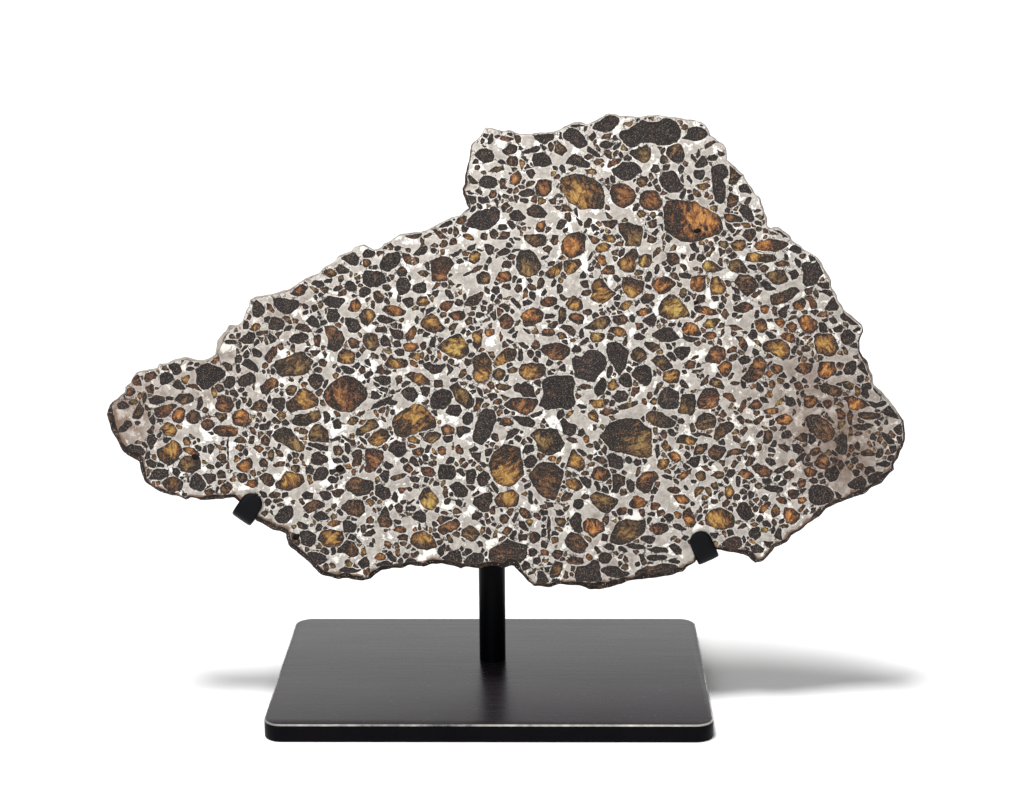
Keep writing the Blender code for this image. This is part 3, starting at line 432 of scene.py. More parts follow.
rust@-215,845 -236,862 -205,862 -183,844 -196,826 -223,830 -236,844
rust 33,1008 53,1035 71,1030 89,1012 71,1003
dark 78,1037 139,1035 161,1017 157,1001 130,999 98,1015
dark 55,953 66,985 85,996 107,992 98,976 71,958
olive@170,950 141,971 161,993 202,996 234,994 245,969 263,944 247,917 207,901 170,917 161,949
dark 243,1021 261,1033 274,1012 301,1008 301,980 283,967 256,976 252,1003
dark 306,987 324,996 333,976 319,965 306,971
rust 263,960 283,963 301,961 308,944 283,946
dark 114,912 125,940 152,940 157,921 134,909
dark 119,885 134,901 161,903 168,885 157,862 134,855 123,869
amber@60,830 -1,876 12,908 53,942 105,929 121,844 107,817 85,799 53,794 26,803 3,844
amber@300,880 263,858 281,912 292,926 331,880 329,853 315,844 283,862
amber -91,1655 -86,1666 -64,1666 -48,1646 -55,1641
brown 23,1648 41,1657 48,1678 73,1673 73,1657 59,1644
dark -14,1630 5,1632 21,1619 16,1600 0,1591 -11,1610
dark 29,1600 55,1619 75,1614 73,1600 38,1589
amber -68,1587 -59,1605 -39,1610 -27,1596 -32,1575 -48,1563 -64,1569
brown -91,1523 -36,1557 -16,1557 -23,1548 -82,1521
olive@-10,1510 -42,1510 -39,1528 -18,1539 5,1528 5,1496 -18,1491 -36,1496
orange@45,1515 25,1514 36,1532 64,1540 80,1528 80,1505 59,1499 27,1502
brown 43,1553 55,1573 77,1571 80,1550 68,1546
olive@135,1535 95,1582 109,1607 136,1613 164,1596 184,1550 168,1528 136,1515 109,1525 93,1555
orange@285,1630 250,1614 255,1641 275,1664 305,1671 332,1664 334,1641 330,1605 305,1585 273,1584 252,1600
olive@150,1645 120,1662 150,1664 191,1662 198,1648 198,1625 164,1621 141,1630 123,1648
rust 214,1641 220,1662 239,1660 239,1632 223,1623
orange 159,1682 168,1705 186,1712 198,1696 191,1673 173,1671
dark 232,1685 245,1714 261,1716 270,1705 250,1678
amber@230,1538 193,1525 214,1550 252,1573 254,1555 248,1532 223,1514 205,1512
amber@280,1540 258,1572 314,1578 320,1560 295,1532 273,1523 259,1537
dark -134,1596 -109,1605 -93,1616 -91,1607 -109,1589 -123,1585
rust@-160,1520 -200,1550 -198,1575 -159,1592 -132,1585 -116,1564 -143,1528 -143,1505 -173,1500 -198,1505
-195,1528
olive -245,1532 -232,1541 -207,1537 -209,1519 -232,1521
dark -198,1460 -189,1475 -168,1473 -173,1460 -184,1446
rust@-150,1420 -170,1419 -159,1435 -114,1438 -145,1398 -164,1405
amber@-200,1370 -236,1360 -223,1380 -198,1394 -177,1382 -168,1364 -152,1346 -159,1332 -186,1327 -209,1330
-232,1346
rust@-115,1380 -141,1387 -118,1400 -82,1400 -80,1382 -91,1371 -123,1369
brown -141,1344 -127,1360 -102,1360 -116,1341 -132,1330
brown@-30,1455 -84,1423 -73,1446 -45,1460 -18,1466 -20,1446 -36,1421 -64,1416
amber@-40,1315 -57,1319 -41,1335 -20,1337 -27,1278 -39,1264 -52,1278
gold@-120,1273 -180,1276 -159,1296 -118,1321 -100,1325 -82,1300 -68,1273 -68,1255 -100,1233 -127,1241
rust@60,1360 36,1369 47,1391 68,1391 86,1373 84,1346 59,1335 41,1346
brown 32,1419 45,1428 65,1423 75,1405 68,1396
dark 7,1469 18,1487 36,1485 39,1464 27,1455
rust 87,1478 95,1491 114,1496 116,1478 100,1460
brown 43,1485 50,1494 73,1494 78,1478 68,1473
rust 130,1485 141,1496 162,1487 163,1469 145,1471
brown 166,1480 170,1505 182,1520 193,1505 186,1482 173,1473
rust@200,1435 176,1432 195,1448 223,1451 240,1441 232,1423 205,1414 184,1419
orange@140,1385 107,1382 127,1403 150,1414 177,1407 190,1387 182,1364 155,1350 123,1346 118,1369
olive 241,1405 250,1416 266,1405 268,1382 257,1357 241,1357
amber@290,1415 265,1423 273,1444 295,1454 318,1437 327,1410 309,1400 277,1405
rust@305,1380 275,1378 282,1394 327,1387 327,1357 305,1355 286,1364
rust@200,1330 182,1321 189,1337 218,1339 232,1328 218,1314 191,1314
brown 245,1344 259,1354 282,1350 300,1332 295,1310
amber 232,1319 250,1329 266,1320 273,1305 245,1303
brown 100,1289 118,1294 141,1273 127,1269 109,1278
brown 145,1278 159,1300 180,1290 173,1272 159,1264
dark -245,1614 -218,1628 -209,1623 -214,1600 -236,1593 -264,1593
rust -282,1573 -264,1587 -241,1587 -239,1569 -259,1557
dark 20,1761 38,1748 39,1716 25,1698 2,1682 -21,1677 -78,1693 -67,1716 -48,1741 2,1752
rust -108,1725 -73,1727 -75,1711 -89,1696 -112,1702
dark -7,1959 11,1952 22,1932 16,1916 -7,1907 -30,1916 -48,1936 -35,1952
dark -16,1866 11,1864 31,1850 34,1834 20,1823 -16,1823 -32,1834 -28,1855
dark 75,1971 98,1970 102,1957 93,1939 61,1936 45,1950
brown 75,1933 98,1930 107,1905 98,1894 70,1900 60,1916
dark 157,2009 225,2009 228,1993 193,1970 155,1995
dark 276,2027 303,2023 317,2011 343,1976 333,1959 307,1957 285,1975 257,1991 255,2005
dark 285,2040 312,2045 337,2040 333,2034 302,2030 278,2032
dark 297,1938 315,1932 352,1905 345,1890 332,1889 290,1902 263,1905 278,1927
dark 159,1941 193,1943 212,1925 219,1905 193,1895 155,1898 151,1920
olive 237,1982 250,1975 273,1952 253,1930 228,1945
orange@93,1858 102,1882 118,1859 111,1839 93,1829 75,1843 77,1866
rust@185,1820 171,1850 193,1852 216,1843 219,1820 207,1800 189,1789 168,1802 159,1825
brown@160,1743 157,1768 180,1761 203,1734 193,1723 166,1718 134,1730 132,1748
dark 93,1749 116,1739 130,1718 107,1709 79,1711 70,1734
brown 47,1857 59,1855 57,1834 70,1820 41,1818 41,1843
dark 139,1823 160,1811 157,1795 116,1791 98,1802 111,1813
brown 66,1775 78,1761 47,1739 43,1757 52,1768
dark -35,1793 2,1789 4,1773 -21,1768 -37,1780
dark -71,1800 -44,1793 -39,1775 -62,1759 -74,1770
rust 52,1999 82,1995 91,1989 66,1980 34,1991
dark 166,1966 182,1961 166,1946 130,1939 109,1945
olive 25,1895 52,1898 57,1884 29,1877 2,1880
brown 254,1766 274,1762 288,1748 281,1741 251,1740
dark -153,1705 -128,1715 -120,1702 -145,1690 -175,1688
rust@375,835 350,823 360,855 385,864 415,848 425,830 396,810 368,815
dark@450,815 426,835 450,838 473,824 472,802 455,795 448,768 420,775 428,802
dark 473,816 490,819 503,797 498,774 480,777
rust@540,825 507,807 520,830 540,845 573,847 586,825 568,805 556,775 540,768 510,786
dark 557,778 572,796 586,782 576,768 560,766
olive@380,755 347,755 366,778 400,766 448,745 434,720 410,698 382,708 358,733
orange@520,745 488,745 507,764 530,753 548,738 537,720 500,716 484,722
orange@575,726 559,734 580,738 596,725 580,714 560,712
orange@665,750 635,763 665,766 690,755 693,735 675,732 650,738
amber@723,780 710,786 726,793 745,790 732,770 713,754 708,766
amber@830,775 812,790 835,800 849,777 840,750 824,747 813,765
dark@880,720 853,710 868,738 890,738 908,715 918,692 900,675 875,677
amber@785,680 744,685 765,710 800,720 836,705 850,678 843,654 815,643 775,648 748,660
orange@690,680 668,702 690,724 705,700 715,670 705,652 685,652 672,678
orange@650,695 638,700 650,710 665,695 662,680 644,683
dark 600,690 620,700 640,692 637,678 618,668
rust@565,645 552,646 563,662 590,669 618,660 621,643 600,627 572,625
olive@480,635 417,615 430,640 438,665 470,680 510,675 543,678 540,640 515,615 485,598 450,589 420,598
orange@355,655 320,665 340,683 370,680 397,665 399,640 355,612 320,650
dark 277,672 298,705 316,698 324,638 306,628 289,646
dark 392,587 413,596 434,585 433,568 410,572
dark@395,550 376,553 388,567 416,563 426,545 410,525 388,523 377,538
dark 470,588 490,597 535,590 540,575 505,574
dark 543,575 570,583 617,578 620,563 575,562
dark 544,548 560,556 615,554 618,540 580,535 548,537
dark 515,560 533,558 546,524 527,518
dark@650,585 620,585 642,599 665,575 667,557 648,554
dark 520,610 535,625 565,618 578,610 555,592
dark@845,605 802,593 825,613 845,620 870,617 876,590 860,572 838,562 815,574
dark 380,502 405,516 440,516 465,498 490,490 465,475 430,475 408,483
brown 505,495 540,514 570,517 600,525 640,524 665,505 640,490 540,472 500,472
dark 617,537 643,543 663,532 650,524 620,526
dark@915,630 896,635 910,652 933,653 940,620 920,605 900,616
orange@880,830 855,835 875,853 905,845 918,830 897,815
olive@795,835 765,832 793,848 812,843 810,822 786,820
olive@730,830 710,836 728,849 745,845 750,820 733,809 718,820
orange@675,835 644,823 665,842 703,856 687,830 666,815
rust@465,715 438,708 455,720 478,720 473,698 450,692
dark@330,1205 286,1235 301,1248 319,1239 342,1266 376,1266 401,1244 408,1216 396,1194 378,1180 365,1155
324,1162 297,1175
dark 284,1266 297,1285 320,1273 317,1260 288,1257
dark 406,1285 424,1294 451,1291 482,1262 473,1207 448,1175 412,1240 405,1262
olive@520,1245 487,1248 500,1269 519,1275 541,1262 546,1239 528,1222 505,1225 491,1235
dark 491,1180 505,1207 541,1216 559,1203 563,1175 555,1146 541,1141 514,1153
dark 445,1166 464,1185 482,1187 496,1153 491,1137 469,1137 453,1148
amber 412,1153 428,1167 451,1141 426,1125 410,1135
dark 360,1135 390,1170 405,1164 405,1135 396,1116 376,1103 365,1116
olive 306,1141 329,1150 347,1146 353,1132 319,1132
amber@380,1080 344,1094 414,1096 417,1087 392,1066 369,1064 353,1078
dark 426,1105 442,1125 469,1128 482,1103 473,1089 442,1082
rust 487,1112 496,1137 521,1139 519,1125 500,1103
olive 442,1071 487,1085 514,1087 514,1078 473,1060 451,1062
rust@410,1053 378,1048 401,1066 448,1055 448,1048 401,1039
amber 340,1044 358,1060 367,1057 378,1035 376,1014 344,1030
olive@570,1035 539,1026 541,1044 559,1057 586,1053 645,1019 645,1007 627,996 595,996 568,1003
olive 568,1112 586,1153 600,1153 595,1139 577,1112
dark 582,1089 591,1121 618,1140 657,1116 652,1064 605,1062 586,1075
olive@670,1053 665,1112 709,1114 713,1075 704,1039 650,1048 661,1085
rust@760,1080 717,1087 740,1132 781,1132 797,1112 790,1071 767,1062 722,1062
amber@625,1180 599,1162 602,1187 627,1200 654,1198 660,1180 654,1153 627,1148
olive@590,1225 559,1228 582,1248 602,1248 627,1221 636,1203 598,1192
dark 634,1262 654,1278 695,1278 695,1262 686,1244 663,1230 641,1248
rust 672,1212 690,1232 715,1225 711,1207 690,1198
rust@780,1250 745,1239 767,1273 790,1281 813,1269 817,1239 795,1214 745,1226
orange@810,1200 786,1207 806,1230 835,1221 838,1203 822,1170 804,1175
dark 856,1230 876,1246 896,1244 899,1221 871,1214
olive@785,1145 758,1157 772,1171 795,1164 815,1137 810,1128 761,1144
rust 804,1107 817,1121 838,1116 853,1089 844,1082
rust 790,1039 804,1063 820,1039 808,1028
rust 862,1066 876,1094 889,1094 885,1066 867,1048 853,1057
olive@750,1010 709,1012 731,1044 749,1050 781,1039 786,1016 781,998 749,989 718,988
brown@790,970 774,957 783,989 797,1012 831,1019 847,1007 840,985 795,955
brown 853,1030 871,1039 881,1021 876,1005 862,1016
brown 865,985 885,1002 895,990 875,968
rust 838,969 855,971 871,953 862,944 844,953
amber@700,950 643,948 659,973 690,970 722,959 711,939 690,935
dark 698,976 718,980 763,975 770,960 740,971 718,966
amber 593,935 609,957 632,921 623,916 600,923
orange@645,900 614,907 645,916 666,889 645,873 627,887
brown@730,915 704,912 718,939 756,941 749,916 731,902 709,902
brown@770,910 758,903 758,921 776,937 808,932 820,921 804,894 786,882 767,889
rust@850,910 815,896 835,921 867,925 885,916 871,905 840,903 824,893
dark 679,875 695,894 731,900 722,862 704,860
amber@600,870 577,866 586,882 614,891 627,882 614,857 595,850
dark 498,880 505,891 530,882 523,869 509,862
olive@535,940 383,962 401,994 424,1016 451,1028 519,1028 537,1003 562,994 562,903 541,889 500,900 419,918
405,939
dark 406,900 419,910 460,894 462,857 451,853 412,862 415,880
olive 356,887 374,900 403,889 410,877 396,872
olive@505,1650 451,1700 483,1703 531,1687 531,1669 520,1623 470,1623 465,1646 451,1669 445,1691
amber 401,1664 426,1660 441,1646 429,1636 397,1641 390,1655
rust 340,1660 360,1659 385,1647 380,1635 360,1628
amber 399,1636 424,1625 410,1605 381,1599 365,1612 372,1625
orange 381,1592 401,1589 405,1557 390,1555 364,1580
amber@475,1555 495,1616 510,1607 517,1587 504,1573 508,1555 497,1530 470,1532 451,1546 440,1564 447,1578
470,1592
gold@535,1570 538,1596 560,1589 565,1573 551,1551 529,1547 515,1562 515,1582
rust 410,1556 433,1555 434,1526 397,1524 383,1533
amber@375,1450 379,1515 397,1505 406,1485 442,1460 401,1430 379,1424 349,1442 356,1460 351,1487 363,1505
amber@485,1460 465,1518 501,1512 539,1498 535,1478 520,1457 490,1442 465,1464 457,1487
orange@585,1490 579,1512 606,1519 620,1514 647,1492 610,1460 588,1455 565,1478 558,1496
brown@560,1450 538,1460 572,1457 570,1442 551,1423 529,1426 520,1442
gold@640,1410 620,1457 647,1451 679,1414 695,1380 660,1378 638,1369 606,1374 585,1392 583,1414 597,1437
amber 465,1432 492,1437 497,1428 483,1410 465,1399 445,1405
orange 524,1409 560,1408 567,1399 538,1385 515,1380 505,1394
dark 567,1393 579,1374 570,1346 547,1351 526,1369
orange@695,1340 679,1362 706,1358 724,1342 733,1323 724,1310 679,1316 665,1330 663,1346
dark 665,1322 680,1312 724,1307 724,1299 688,1290 670,1305
orange 706,1417 747,1414 779,1403 792,1387 760,1383 710,1396
gold@765,1358 751,1371 779,1374 799,1367 783,1346 751,1339 733,1346
orange 751,1328 779,1330 785,1310 774,1301 747,1303 733,1314
orange@715,1500 699,1517 742,1521 747,1505 745,1473 724,1462 697,1473 693,1501
amber@780,1480 774,1517 792,1517 813,1492 817,1473 801,1455 767,1453 760,1478 763,1505
gold@750,1555 742,1573 770,1573 788,1555 808,1544 779,1532 747,1532 731,1551
olive@850,1550 847,1579 865,1573 890,1546 885,1528 842,1530 822,1546 831,1569
amber@860,1620 842,1641 881,1644 883,1623 874,1606 842,1605 831,1623
olive 788,1639 815,1639 826,1623 815,1610 792,1621
amber 770,1621 781,1612 754,1582 745,1589
rust 842,1414 879,1430 906,1419 912,1407 879,1394 842,1396
brown 838,1456 865,1453 869,1437 850,1430 840,1434
brown@645,1570 615,1598 638,1601 660,1582 651,1562 624,1553 610,1569
gold@370,1310 351,1324 399,1326 401,1312 388,1294 358,1292 345,1310
amber@450,1325 420,1344 451,1346 470,1333 479,1314 451,1310 424,1324 406,1326
olive@380,1355 383,1380 410,1385 422,1360 397,1337 360,1333 326,1342
brown 429,1383 465,1387 479,1374 476,1355 442,1351 426,1364
dark@610,1310 601,1344 629,1342 660,1305 633,1294 597,1292 560,1319
rust 504,1360 530,1358 532,1340 510,1334
dark 517,1326 542,1308 529,1301 497,1303 501,1319
olive@580,1270 538,1294 565,1292 588,1282 592,1273 565,1255 531,1285
brown 547,1662 579,1650 575,1634 546,1635
rust 625,1531 645,1530 660,1499 630,1515
brown 810,1410 828,1387 815,1369 799,1383
rust 825,1352 855,1350 875,1335 845,1330
rust 847,1312 874,1312 892,1282 885,1255 860,1282 863,1296
brown 724,1455 747,1453 742,1428 720,1423 710,1442
dark 416,2076 439,2072 452,2055 450,2039 434,2030 420,2014 398,2010 354,2026 368,2044 400,2060
dark@530,2035 530,2055 548,2044 580,2045 607,2060 635,2053 653,2037 660,2010 655,1983 630,1969 585,1963
562,1976 525,1975 498,1959 475,1964 446,2000 452,2016 484,2023
dark 683,2019 699,2028 726,2029 753,2015 753,2003 740,1989 719,1980 662,1988 680,1999
rust 776,1983 780,1976 742,1951 742,1965 758,1976
dark 751,1928 776,1935 792,1928 783,1917 758,1912 746,1919
dark 733,1933 751,1919 753,1898 708,1886 710,1905
dark 708,1880 742,1882 744,1864 730,1847 712,1851 700,1869
brown@635,1948 630,1971 653,1973 667,1957 673,1930 667,1909 644,1907 626,1916 607,1934 612,1957
olive@540,1930 544,1967 559,1953 557,1926 539,1904 516,1912 482,1935 493,1949
dark 407,1985 436,1971 411,1954 379,1964 388,1978
dark 343,1967 384,1935 386,1926 366,1930 338,1946
dark 361,2013 373,1996 357,1980 342,1996
orange 430,1919 457,1921 452,1910 434,1898 411,1890 407,1898 416,1912
brown 360,1917 395,1920 398,1908 370,1900
dark@500,1870 461,1912 498,1910 516,1898 530,1876 507,1864 489,1846 461,1848 430,1867 420,1880 448,1896
brown 525,1860 546,1860 553,1844 539,1828 521,1821 505,1839 512,1853
brown 566,1901 585,1896 589,1880 571,1871 557,1880
dark@620,1860 603,1876 635,1880 648,1867 657,1844 671,1830 671,1817 644,1805 616,1803 587,1835 587,1858
rust@470,1803 427,1833 452,1839 475,1833 498,1817 509,1794 498,1771 466,1751 439,1762 423,1780 416,1812
rust@560,1780 544,1813 566,1815 585,1804 598,1767 589,1751 562,1742 534,1749 518,1771 521,1799
amber@305,1800 250,1859 300,1870 330,1866 380,1843 396,1815 400,1780 396,1748 353,1752 315,1748 300,1763
276,1772 265,1796 244,1818
orange@730,1725 612,1776 635,1780 708,1774 730,1758 785,1731 799,1708 806,1681 794,1662 708,1635 667,1637
635,1653 605,1675 600,1752
dark 566,1714 576,1716 580,1685 553,1685 544,1703
brown 384,1708 441,1712 443,1698 420,1678 402,1694
brown 343,1719 359,1714 345,1685 325,1687 329,1705
dark 765,1894 799,1903 820,1887 822,1860 803,1850 814,1823 813,1787 803,1766 776,1773 767,1841
brown 827,1908 863,1876 875,1860 858,1855 849,1828 824,1832 829,1860
brown 826,1803 858,1791 854,1764 831,1748 818,1759 820,1787
dark 867,1764 890,1759 908,1732 913,1709 895,1702 856,1741
rust 808,1733 849,1728 874,1714 872,1703 819,1703 806,1719
amber 719,1835 758,1835 763,1823 737,1812 717,1823
dark 883,1836 910,1809 908,1801 863,1805 859,1828
amber 329,1883 352,1889 373,1882 368,1870 343,1872
orange@1040,690 1016,695 1020,720 1045,718 1070,703 1073,680 1050,662 1025,666
amber@985,710 974,713 986,733 1005,720 1002,693 980,683 973,696
orange@950,715 930,705 943,728 963,742 974,738 958,710 940,698
dark@1150,775 1103,770 1113,798 1150,799 1180,786 1194,760 1175,735 1140,726 1113,735 1104,753
dark@1180,835 1155,833 1170,857 1196,866 1210,840 1200,815 1174,808
dark@1260,815 1238,800 1260,820 1285,832 1305,807 1293,785 1260,783 1240,789
dark 1305,835 1330,846 1388,838 1360,808 1320,789 1308,810
rust@1075,805 1063,803 1073,824 1095,815 1090,790 1070,787
brown@1050,773 1030,775 1045,784 1070,778 1070,760 1055,747 1034,755
dark 945,790 965,798 995,796 1015,788 1013,774 980,774 955,780
dark 893,767 900,780 917,770 915,753 895,752
orange@1005,748 988,750 1010,759 1030,745 1025,730 1002,736
orange@1080,745 1065,750 1085,758 1098,746 1085,732 1068,736
dark 945,667 960,675 976,663 974,650 952,653
dark 983,620 995,648 1010,650 1010,620 1015,603 993,610
dark@965,592 950,602 980,602 982,585 970,578 954,587
dark 902,583 923,595 953,578 946,562 915,560
dark 1118,690 1130,710 1145,720 1160,710 1140,703 1133,688
brown 1015,835 1035,848 1055,836 1046,820 1020,820
rust@1110,840 1085,850 1105,860 1135,845 1125,828 1095,826
rust@930,1210 867,1166 885,1185 902,1210 915,1240 932,1247 954,1225 955,1200 942,1175 920,1156 890,1153
rust@990,1196 964,1205 980,1216 1005,1213 1016,1196 1002,1181 978,1185
rust@1090,1203 1050,1200 1070,1216 1100,1220 1116,1210 1110,1186 1085,1180 1063,1188
orange@1165,1195 1138,1223 1190,1223 1200,1190 1185,1176 1160,1162 1140,1168 1128,1185
brown@1190,1125 1136,1142 1160,1150 1195,1140 1218,1126 1215,1109 1192,1102 1143,1120
olive@1240,1140 1213,1153 1234,1158 1258,1140 1248,1123 1226,1132
dark@1245,1205 1225,1213 1245,1226 1264,1224 1264,1195 1257,1178 1228,1180 1220,1197
dark 1268,1208 1287,1227 1310,1220 1312,1193 1305,1172 1285,1187
dark 1270,1172 1286,1182 1292,1160 1278,1146 1268,1154
orange@1260,1075 1220,1102 1253,1107 1286,1092 1316,1073 1264,1054 1240,1060 1235,1084
dark 1282,1145 1310,1152 1327,1135 1303,1126 1310,1104 1300,1092 1283,1108
dark 1318,1140 1340,1132 1370,1105 1354,1098 1328,1122
dark 1303,1090 1335,1077 1365,1094 1373,1076 1324,1062
dark 1353,1050 1370,1070 1390,1080 1413,1046 1423,1023 1368,1037
brown 1267,1044 1300,1049 1345,1046 1353,1036 1325,1023 1290,1026 1275,1032
dark 1252,1003 1313,1012 1330,1005 1300,988 1270,986
dark 1394,993 1418,1013 1430,1003 1429,980 1415,968 1398,976
brown@1160,985 1090,1025 1110,1046 1140,1038 1175,1013 1195,980 1183,955 1158,944 1105,980
amber@1150,990 1135,1010 1155,1009 1175,989 1167,963 1143,973
rust@1213,1046 1195,1055 1210,1063 1228,1044 1226,1025 1203,1022
orange@1025,1025 980,1022 1000,1038 1025,1046 1050,1024 1030,1005 1005,1006
dark 965,1018 978,1030 992,1022 978,1002 965,1002
brown 910,1017 934,1040 950,1036 937,1014 920,1003
rust@920,1076 890,1065 908,1090 930,1095 944,1076 935,1062 910,1059
orange 945,1056 975,1066 996,1062 998,1048 975,1042 954,1046
rust@1105,1093 1085,1104 1114,1107 1134,1096 1130,1076 1104,1062 1084,1070
rust@1170,1082 1145,1082 1163,1093 1180,1090 1180,1070 1163,1060
dark@1028,977 1008,965 1016,986 1034,988 1050,972 1035,960 1016,958
brown@963,970 948,986 975,986 978,955 968,941 948,942
rust@1070,966 1055,958 1083,980 1100,973 1100,948 1075,949
dark 1100,974 1117,980 1128,955 1113,936 1100,943
dark@1210,950 1188,953 1204,970 1233,973 1235,935 1233,905 1210,904 1190,920 1204,935
brown 995,940 1020,940 1040,924 1025,910 1005,923
dark 1045,940 1070,938 1090,916 1070,907 1048,912
rust@1125,918 1103,905 1115,923 1140,927 1145,914 1120,897
rust@1150,880 1120,870 1133,893 1152,910 1170,890 1179,870 1160,852 1135,856
dark 1245,886 1263,898 1275,880 1263,868 1248,872
brown@1305,910 1280,910 1302,923 1330,908 1330,898 1293,896
dark 1332,870 1360,883 1386,876 1375,858 1352,863
dark 1350,980 1370,975 1396,953 1400,938 1376,940 1356,960
dark 1300,858 1320,865 1333,842 1310,825 1293,840
rust@945,850 905,863 930,872 960,860 980,845 970,828 940,827 920,842
dark 953,884 972,895 992,870 968,862
rust@1045,880 1030,872 1048,892 1065,870 1048,859
brown@900,880 880,870 900,897 923,893 910,872 894,863
rust@1070,1145 1050,1150 1068,1160 1085,1135 1075,1123 1053,1133
dark@1030,1090 1020,1105 1050,1100 1062,1080 1040,1068 1023,1076
orange@940,1630 910,1620 915,1630 960,1648 1020,1636 1032,1626 1010,1610 980,1602 920,1608
amber@915,1585 880,1575 890,1596 915,1600 940,1593 980,1592 993,1580 985,1570 950,1565 885,1568
brown 933,1548 945,1558 960,1552 960,1540 948,1530 935,1536
olive@990,1515 946,1524 968,1534 995,1540 1015,1539 1030,1502 1010,1492 985,1488 970,1498
dark 930,1495 940,1504 962,1500 970,1485 990,1475 973,1468 955,1470
brown@875,1505 845,1500 860,1524 886,1526 910,1515 928,1490 926,1480 890,1446 858,1478
brown@995,1438 967,1448 980,1458 1005,1460 1035,1480 1055,1477 1070,1468 1050,1447 1025,1428 1000,1423
988,1415 972,1420
orange@1065,1415 1044,1416 1050,1430 1075,1444 1088,1438 1088,1415 1078,1401 1055,1402
rust 1090,1452 1110,1450 1126,1430 1132,1405 1108,1403 1103,1426 1086,1442
dark 1154,1405 1185,1450 1210,1418 1195,1400 1175,1398
dark 1080,1495 1080,1535 1074,1552 1086,1568 1110,1562 1138,1573 1148,1550 1160,1535 1142,1522 1130,1497
1115,1485 1095,1477
dark 1125,1492 1150,1496 1173,1496 1176,1475 1145,1474
dark 1118,1475 1143,1467 1168,1472 1195,1455 1175,1446
dark 1030,1532 1055,1540 1066,1526 1055,1508 1040,1506
dark 1030,1607 1048,1630 1068,1620 1077,1607 1066,1593
rust 982,1560 1005,1572 1030,1570 1033,1555 990,1552
dark 985,1675 1005,1684 1028,1665 1040,1647 1015,1652
brown@898,1655 870,1658 883,1680 908,1684 918,1668 910,1646 895,1634
orange@950,1406 932,1416 955,1422 966,1410 958,1391 938,1392
rust 902,1452 920,1465 938,1474 928,1450 910,1440
dark 995,1398 1034,1422 1025,1395 1022,1373 1002,1377
amber@930,1345 912,1363 930,1374 952,1368 960,1338 950,1323 926,1325
dark 890,1316 905,1336 925,1330 923,1304 905,1299
orange@1005,1353 978,1372 988,1352 1010,1340 1020,1352 1018,1368 1000,1373
orange@1040,1350 1020,1349 1042,1363 1060,1348 1055,1327 1038,1327
orange@1090,1355 1060,1370 1078,1386 1105,1380 1128,1364 1136,1345 1110,1319 1088,1323 1074,1340
dark 1128,1356 1145,1363 1165,1344 1165,1322 1142,1320
amber@1160,1285 1115,1310 1130,1323 1160,1322 1185,1315 1200,1286 1203,1265 1185,1242 1155,1244 1125,1256
orange@1030,1308 1000,1314 1015,1322 1048,1320 1056,1296 1038,1285 1013,1300
amber@1000,1265 935,1278 955,1296 985,1302 1015,1300 1039,1272 1035,1246 1015,1228 970,1256 950,1260
dark 1208,1382 1223,1400 1278,1353 1250,1348 1210,1373
dark 1170,1372 1188,1380 1200,1366 1196,1355 1176,1357
dark 1180,1336 1204,1348 1222,1342 1213,1326 1190,1327
dark@1220,1300 1208,1306 1218,1330 1240,1334 1257,1320 1265,1302 1250,1287 1220,1282
rust 1124,1383 1140,1396 1163,1394 1170,1380 1146,1376
"""

# Fields of bare metal: mm across, mm up, radius
METAL_FIELDS = []

# Boxes in which the table has every stone: least and most, mm across and up
READ_IN_FULL = [(-136.0, 84.0, 144.0, 126.0), (-80.0, 42.0, 32.0, 168.0), (32.0, 126.0, 144.0, 168.0),
                (-24.0, 168.0, 92.0, 210.0), (32.0, 42.0, 144.0, 84.0)]

# Rust films on the metal: mm across, mm up, reach, strength
STAINS = [
    (-125.0, 105.0, 14.0, 0.5), (-95.0, 118.0, 16.0, 0.3), (-70.0, 140.0, 14.0, 0.25),
    (110.0, 110.0, 28.0, 0.35), (125.0, 90.0, 16.0, 0.35), (40.0, 60.0, 18.0, 0.2),
]

# Small stones that the table leaves out: radius in mm, and how many are thrown
FRAGMENT_SIZES = ((4.6, 900), (3.4, 1500), (2.5, 2500), (1.7, 3500), (1.1, 5000), (0.75, 4000))
LARGEST_MISSED = 1.4
BARE_SHARE = 0.2
STONE_SUNK = 0.05
# Stones were read a little inside their edges, mm; the crust shows more along the lower edge, mm
STONE_WIDER = 0.12
CRUST_BELOW = 0.9
BACK_SMALLEST = 2.2
# Grains on the crust: how many to the square metre, their radius, and how far they sit in it, mm
GRAINS = 0.9e6
GRAIN_SIZE = 0.22 * MM
GRAIN_SUNK = 0.1
# How far a point may lie off an edge that it splits, mm
SEAM_SLACK = 0.02
# Pits where a crystal has dropped out of the show face: mm across, mm up the face, half length,
# half breadth, turn in degrees, depth
PITS = [
    (-51.9, 85.6, 1.7, 1.5, 0, 1.2),
    (-67.2, 61.8, 1.5, 1.1, 40, 1.3),
    (-101.9, 89.6, 1.6, 1.0, -20, 1.0),
    (71.7, 167.4, 1.3, 0.9, 10, 1.2),
    (71.4, 142.9, 1.2, 0.8, 30, 1.0),
]

# Olivine's colours by look: the body of the stone, the light that comes back out of its depth,
# how strong that is, and how often the look turns up among the small fragments
OLIVINE_LOOKS = {
    "dark": ("#2a2526", "#6b5a4e", 0.2, 38),
    "brown": ("#2f2724", "#85674a", 0.6, 24),
    "rust": ("#352823", "#936947", 0.8, 12),
    "orange": ("#352823", "#b5814c", 1.0, 3),
    "amber": ("#362a22", "#a9854f", 1.0, 7),
    "gold": ("#362a23", "#b0975c", 1.1, 2),
    "olive": ("#2d2824", "#856f4d", 0.85, 14),
}


def linear(hex_colour, alpha=1.0):
    """An sRGB hex colour as linear values."""
    parts = [int(hex_colour[i:i + 2], 16) / 255 for i in (1, 3, 5)]
    return (*(p / 12.92 if p <= 0.04045 else ((p + 0.055) / 1.055) ** 2.4 for p in parts), alpha)


